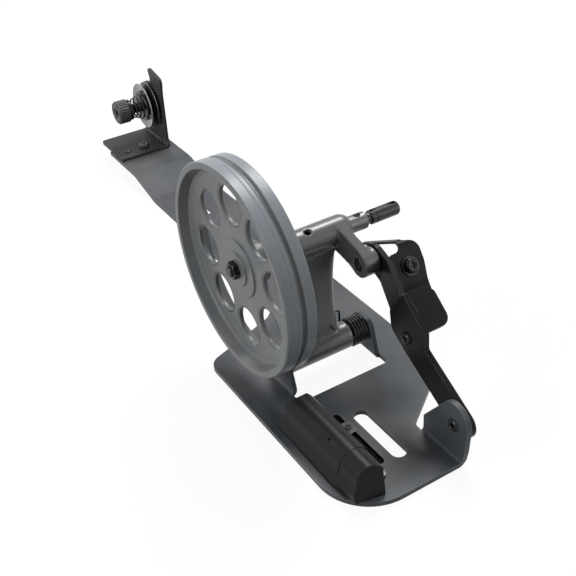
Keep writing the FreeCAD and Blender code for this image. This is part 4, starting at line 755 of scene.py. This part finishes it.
def mergedCopy(node):
    # a copy of a CAD node's mesh, and its shape with the loose triangles merged
    mesh = nodes[node].data.copy()
    shape = bmesh.new()
    shape.from_mesh(mesh)
    bmesh.ops.remove_doubles(shape, verts=shape.verts, dist=cadWeld)
    return mesh, shape


coil = {"reach": 0.0068, "fade": 0.0005, "swell": 0.14, "smoothAngle": 80}  # the coils get fuller, the legs don't
flatTurn = 0.5  # degrees below which two faces are one flat


def skinOf(node, bevelWidth=0.25, swell=0.0, segments=3, smoothAngle=35, bevelAngle=30):
    # a merged copy of a CAD node with rounded edges, or a slightly fuller wire, which stands for the node
    mesh, shape = mergedCopy(node)
    mesh.name = node + "Skin"
    if swell:
        shape.normal_update()
        for corner in shape.verts:
            reach = math.hypot(corner.co.y - swingAxis[1], corner.co.z - swingAxis[2])
            corner.co += corner.normal * swell * mm * min(max((coil["reach"] - reach) / coil["fade"], 0), 1)
    if bevelWidth:
        bmesh.ops.dissolve_limit(shape, angle_limit=math.radians(flatTurn), verts=shape.verts, edges=shape.edges)
    shape.to_mesh(mesh)
    shape.free()
    mesh.materials.clear()
    mesh.materials.append(finishes[nodeSlot[node]])
    piece = linked(node + "Skin", mesh)
    bevel = piece.modifiers.new("roundEdges", "BEVEL")
    bevel.width = bevelWidth * mm
    bevel.segments = segments
    bevel.limit_method = "ANGLE"
    bevel.angle_limit = math.radians(bevelAngle)
    bevel.use_clamp_overlap = True
    piece.modifiers.new("flats", "TRIANGULATE")
    piece.data = plainMesh(piece)
    smoothFlat(piece, smoothAngle)
    standFor(piece, node)
    return piece


# the drive wheel: a turned rim and hub round a web with eight holes
wheel = {"radius": 42.0, "width": 12.0, "rim": 2.6, "stepX": 4.0, "lineX": 4.0, "lineDepth": 0.2, "grooveX": 6.9,
         "grooveWidth": 2.4, "grooveDepth": 0.9, "webX": 5.1, "webThickness": 2.0, "webRadius": 33.0,
         "hubRadius": 11.7, "hubX": 4.4, "bossRadius": 6.9, "bossX": 3.7, "rearHubRadius": 8.0, "rearHubX": 14.0,
         "bore": 2.55, "holes": 8, "holeCircle": 25.4, "holeRadius": 7.5, "firstHole": 96.2, "lip": 0.6,
         "chamfer": 0.4, "hubChamfer": 0.3}


def makeWheel(w):
    rimIn, floor = w["radius"] - w["rim"], w["radius"] - w["grooveDepth"]
    webBack, gx, gw, lx = w["webX"] + w["webThickness"], w["grooveX"], w["grooveWidth"], w["lineX"]
    rim = [(0, rimIn), (0, w["radius"] - w["chamfer"]), (w["chamfer"], w["radius"]), (lx - 0.3, w["radius"]),
           (lx, w["radius"] - w["lineDepth"]), (lx + 0.3, w["radius"]), (gx - gw * 0.5, w["radius"]),
           (gx - gw * 0.25, floor + 0.1), (gx - gw * 0.1, floor), (gx + gw * 0.1, floor),
           (gx + gw * 0.4, floor + 0.3), (gx + gw * 0.5, w["radius"]), (w["width"] - w["chamfer"], w["radius"]),
           (w["width"], w["radius"] - w["chamfer"]), (w["width"], rimIn), (webBack + 0.6, rimIn - 1.6),
           (webBack, rimIn - 3.0), (webBack - 0.3, rimIn - 3.6), (w["webX"] + 0.3, w["webRadius"] - 0.8),
           (w["webX"], w["webRadius"]), (w["stepX"] + 0.5, rimIn - 2.6), (w["stepX"], rimIn - 2.0),
           (w["stepX"], rimIn - 1.2)]
    hub = [(w["rearHubX"], w["rearHubRadius"]), (w["rearHubX"], w["bore"]), (w["bossX"], w["bore"]),
           (w["bossX"], w["bossRadius"] - w["hubChamfer"]), (w["bossX"] + w["hubChamfer"], w["bossRadius"]),
           (w["hubX"], w["bossRadius"]), (w["hubX"], w["hubRadius"] - w["hubChamfer"]),
           (w["hubX"] + w["hubChamfer"], w["hubRadius"]), (w["webX"], w["hubRadius"]),
           (w["webX"] + 0.4, w["hubRadius"] + 0.5), (webBack - 0.4, w["rearHubRadius"] + 0.6),
           (webBack, w["rearHubRadius"])]
    web = bpy.data.meshes.new("webSeed")
    parts = [turnedMesh("rim", rim, spindleAxis, "wheel_finish", 36.0, Segments=192, Round=0.3 * mm),
             turnedMesh("hub", hub, spindleAxis, "wheel_finish", 8.0, Segments=96, Round=0.25 * mm),
             grow("web", web, holedWeb, {"Outer Radius": (w["webRadius"] + 0.6) * mm,
                                         "Inner Radius": (w["rearHubRadius"] - 0.6) * mm,
                                         "Thickness": w["webThickness"] * mm, "Front": w["webX"] * mm,
                                         "Holes": w["holes"], "Hole Circle": w["holeCircle"] * mm,
                                         "Hole Radius": w["holeRadius"] * mm,
                                         "First Hole": -math.radians(w["firstHole"] + 90), "Lip": w["lip"] * mm,
                                         "Axis": spindleAxis},
                  finishes["wheel_finish"])]
    piece = joined("driveWheelCasting", parts, finishes["wheel_finish"])
    standFor(piece, "drive_wheel")


makeWheel(wheel)

# the tension post: a knurled nut on a threaded stud
nut = {"x0": 44.6, "x1": 51.6, "radius": 6.6, "bore": 2.95, "mouth": 1.8, "recessRadius": 3.4, "recessDepth": 0.6,
       "floor": 1.4,
       "ridges": 28, "ridgeDepth": 0.3}
stud = {"tip": 47.0, "radius": 2.9, "shoulderX": 64.4, "shoulderRadius": 4.5, "tabX": 67.3, "neck": 2.0, "endX": 69.7,
        "threadTo": 62.0, "pitch": 0.8, "threadDepth": 0.32, "step": 0.1}


def makeNut(n):
    front, r = n["x0"], n["radius"]
    recess, floor = front + n["recessDepth"], front + n["floor"]
    profile = [(recess, n["mouth"]), (recess, n["recessRadius"] - 0.3), (front, n["recessRadius"] + 0.2),
               (front, r - 1.9), (front + 0.4, r - 1.6), (front, r - 1.3), (front, r - 0.7), (front + 0.7, r),
               (front + 1.0, r), (front + 1.3, r), (n["x1"] - 1.1, r), (n["x1"] - 0.8, r), (n["x1"] - 0.5, r),
               (n["x1"], r - 0.5), (n["x1"], n["bore"]), (floor, n["bore"]), (floor, n["mouth"])]
    mesh = turnedMesh("nut", profile, tensionAxis, "nut_finish", 4.0, Segments=n["ridges"] * 10, Round=0.12 * mm,
                      Ridges=float(n["ridges"]), **{"Ridge Depth": n["ridgeDepth"] * mm,
                                                    "Ridge From": (front + 1.1) * mm,
                                                    "Ridge To": (n["x1"] - 0.9) * mm, "Ridge Above": (r - 0.2) * mm})
    standFor(joined("knurledNut", [mesh], finishes["nut_finish"], 40), "tension_nut")


def makeStud(s):
    count = int((s["threadTo"] - s["tip"] - 0.5) / s["step"])
    run = [(s["tip"] + 0.5 + i * s["step"], s["radius"]) for i in range(count)]
    profile = [(s["tip"], 0), (s["tip"], s["radius"] - 0.4), (s["tip"] + 0.4, s["radius"])] + run + [
        (s["threadTo"], s["radius"]), (s["shoulderX"], s["radius"]), (s["shoulderX"], s["shoulderRadius"]),
        (s["tabX"], s["shoulderRadius"]), (s["tabX"], s["neck"]), (s["endX"] - 0.7, s["neck"]),
        (s["endX"] - 0.7, s["neck"] + 0.7), (s["endX"], s["neck"] + 0.3), (s["endX"], 0)]
    mesh = turnedMesh("stud", profile, tensionAxis, "black_steel", 1.0, Segments=48, Round=0.02 * mm,
                      **{"Ridge Depth": s["threadDepth"] * mm * 2, "Ridge From": (s["tip"] + 0.45) * mm,
                         "Thread Share": 1.0, "Ridge To": s["threadTo"] * mm,
                         "Ridge Above": (s["radius"] - 0.2) * mm, "Thread Pitch": s["pitch"] * mm})
    standFor(joined("threadedStud", [mesh], finishes["black_steel"], 50), "tension_stud")


makeNut(nut)
makeStud(stud)

# the swing frame: one casting with soft edges and filled corners
casting = {"voxel": 0.42, "smoothing": 6, "smoothShare": 0.5, "sharpAngle": 60}


def makeCasting(values):
    mesh, shape = mergedCopy("swing_frame")
    shape.to_mesh(mesh)
    shape.free()
    mesh.materials.clear()
    mesh.materials.append(finishes["casting_finish"])
    piece = linked("swingCasting", mesh)
    fresh = piece.modifiers.new("voxels", "REMESH")
    fresh.mode = "VOXEL"
    fresh.voxel_size = values["voxel"] * mm
    ease = piece.modifiers.new("ease", "SMOOTH")
    ease.factor = values["smoothShare"]
    ease.iterations = values["smoothing"]
    done = plainMesh(piece)
    piece.data = done
    done.materials.clear()
    done.materials.append(finishes["casting_finish"])
    piece.data.shade_smooth()
    piece.data.set_sharp_from_angle(angle=math.radians(values["sharpAngle"]))
    standFor(piece, "swing_frame")


makeCasting(casting)

# the other pieces: merged copies with rounded edges
for node, holder in nodes.items():
    holder.data.materials.clear()
    holder.data.materials.append(finishes[nodeSlot[node]])

edgeWidths = {"base_plate": 0.35, "thumb_lever": 0.3, "trip_link": 0.3, "feeler": 0.2, "brake_block": 0.6,
              "brake_end": 0.7, "tension_bracket": 0.25, "spindle": 0.12, "spindle_collar": 0.15, "wheel_screw": 0.2,
              "front_disc": 0.12, "rear_disc": 0.12, "brake_slider": 0.15, "feeler_screw": 0.12,
              "bracket_screw": 0.12, "lever_eyelet": 0.15, "toggle_eyelet": 0.15, "link_pin": 0.2, "pivot_pin": 0.2,
              "brake_screw": 0.12}
for node, width in edgeWidths.items():
    skinOf(node, width)
for row in bpy.data.objects["brake_sliderSkin"].material_slots:
    row.material = finishes["slotShade"]
skinOf("frame_spring", 0.0, swell=coil["swell"], smoothAngle=coil["smoothAngle"])
springSkin = skinOf("tension_spring", 0.0, smoothAngle=coil["smoothAngle"])
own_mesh(springSkin)
print("skins made")
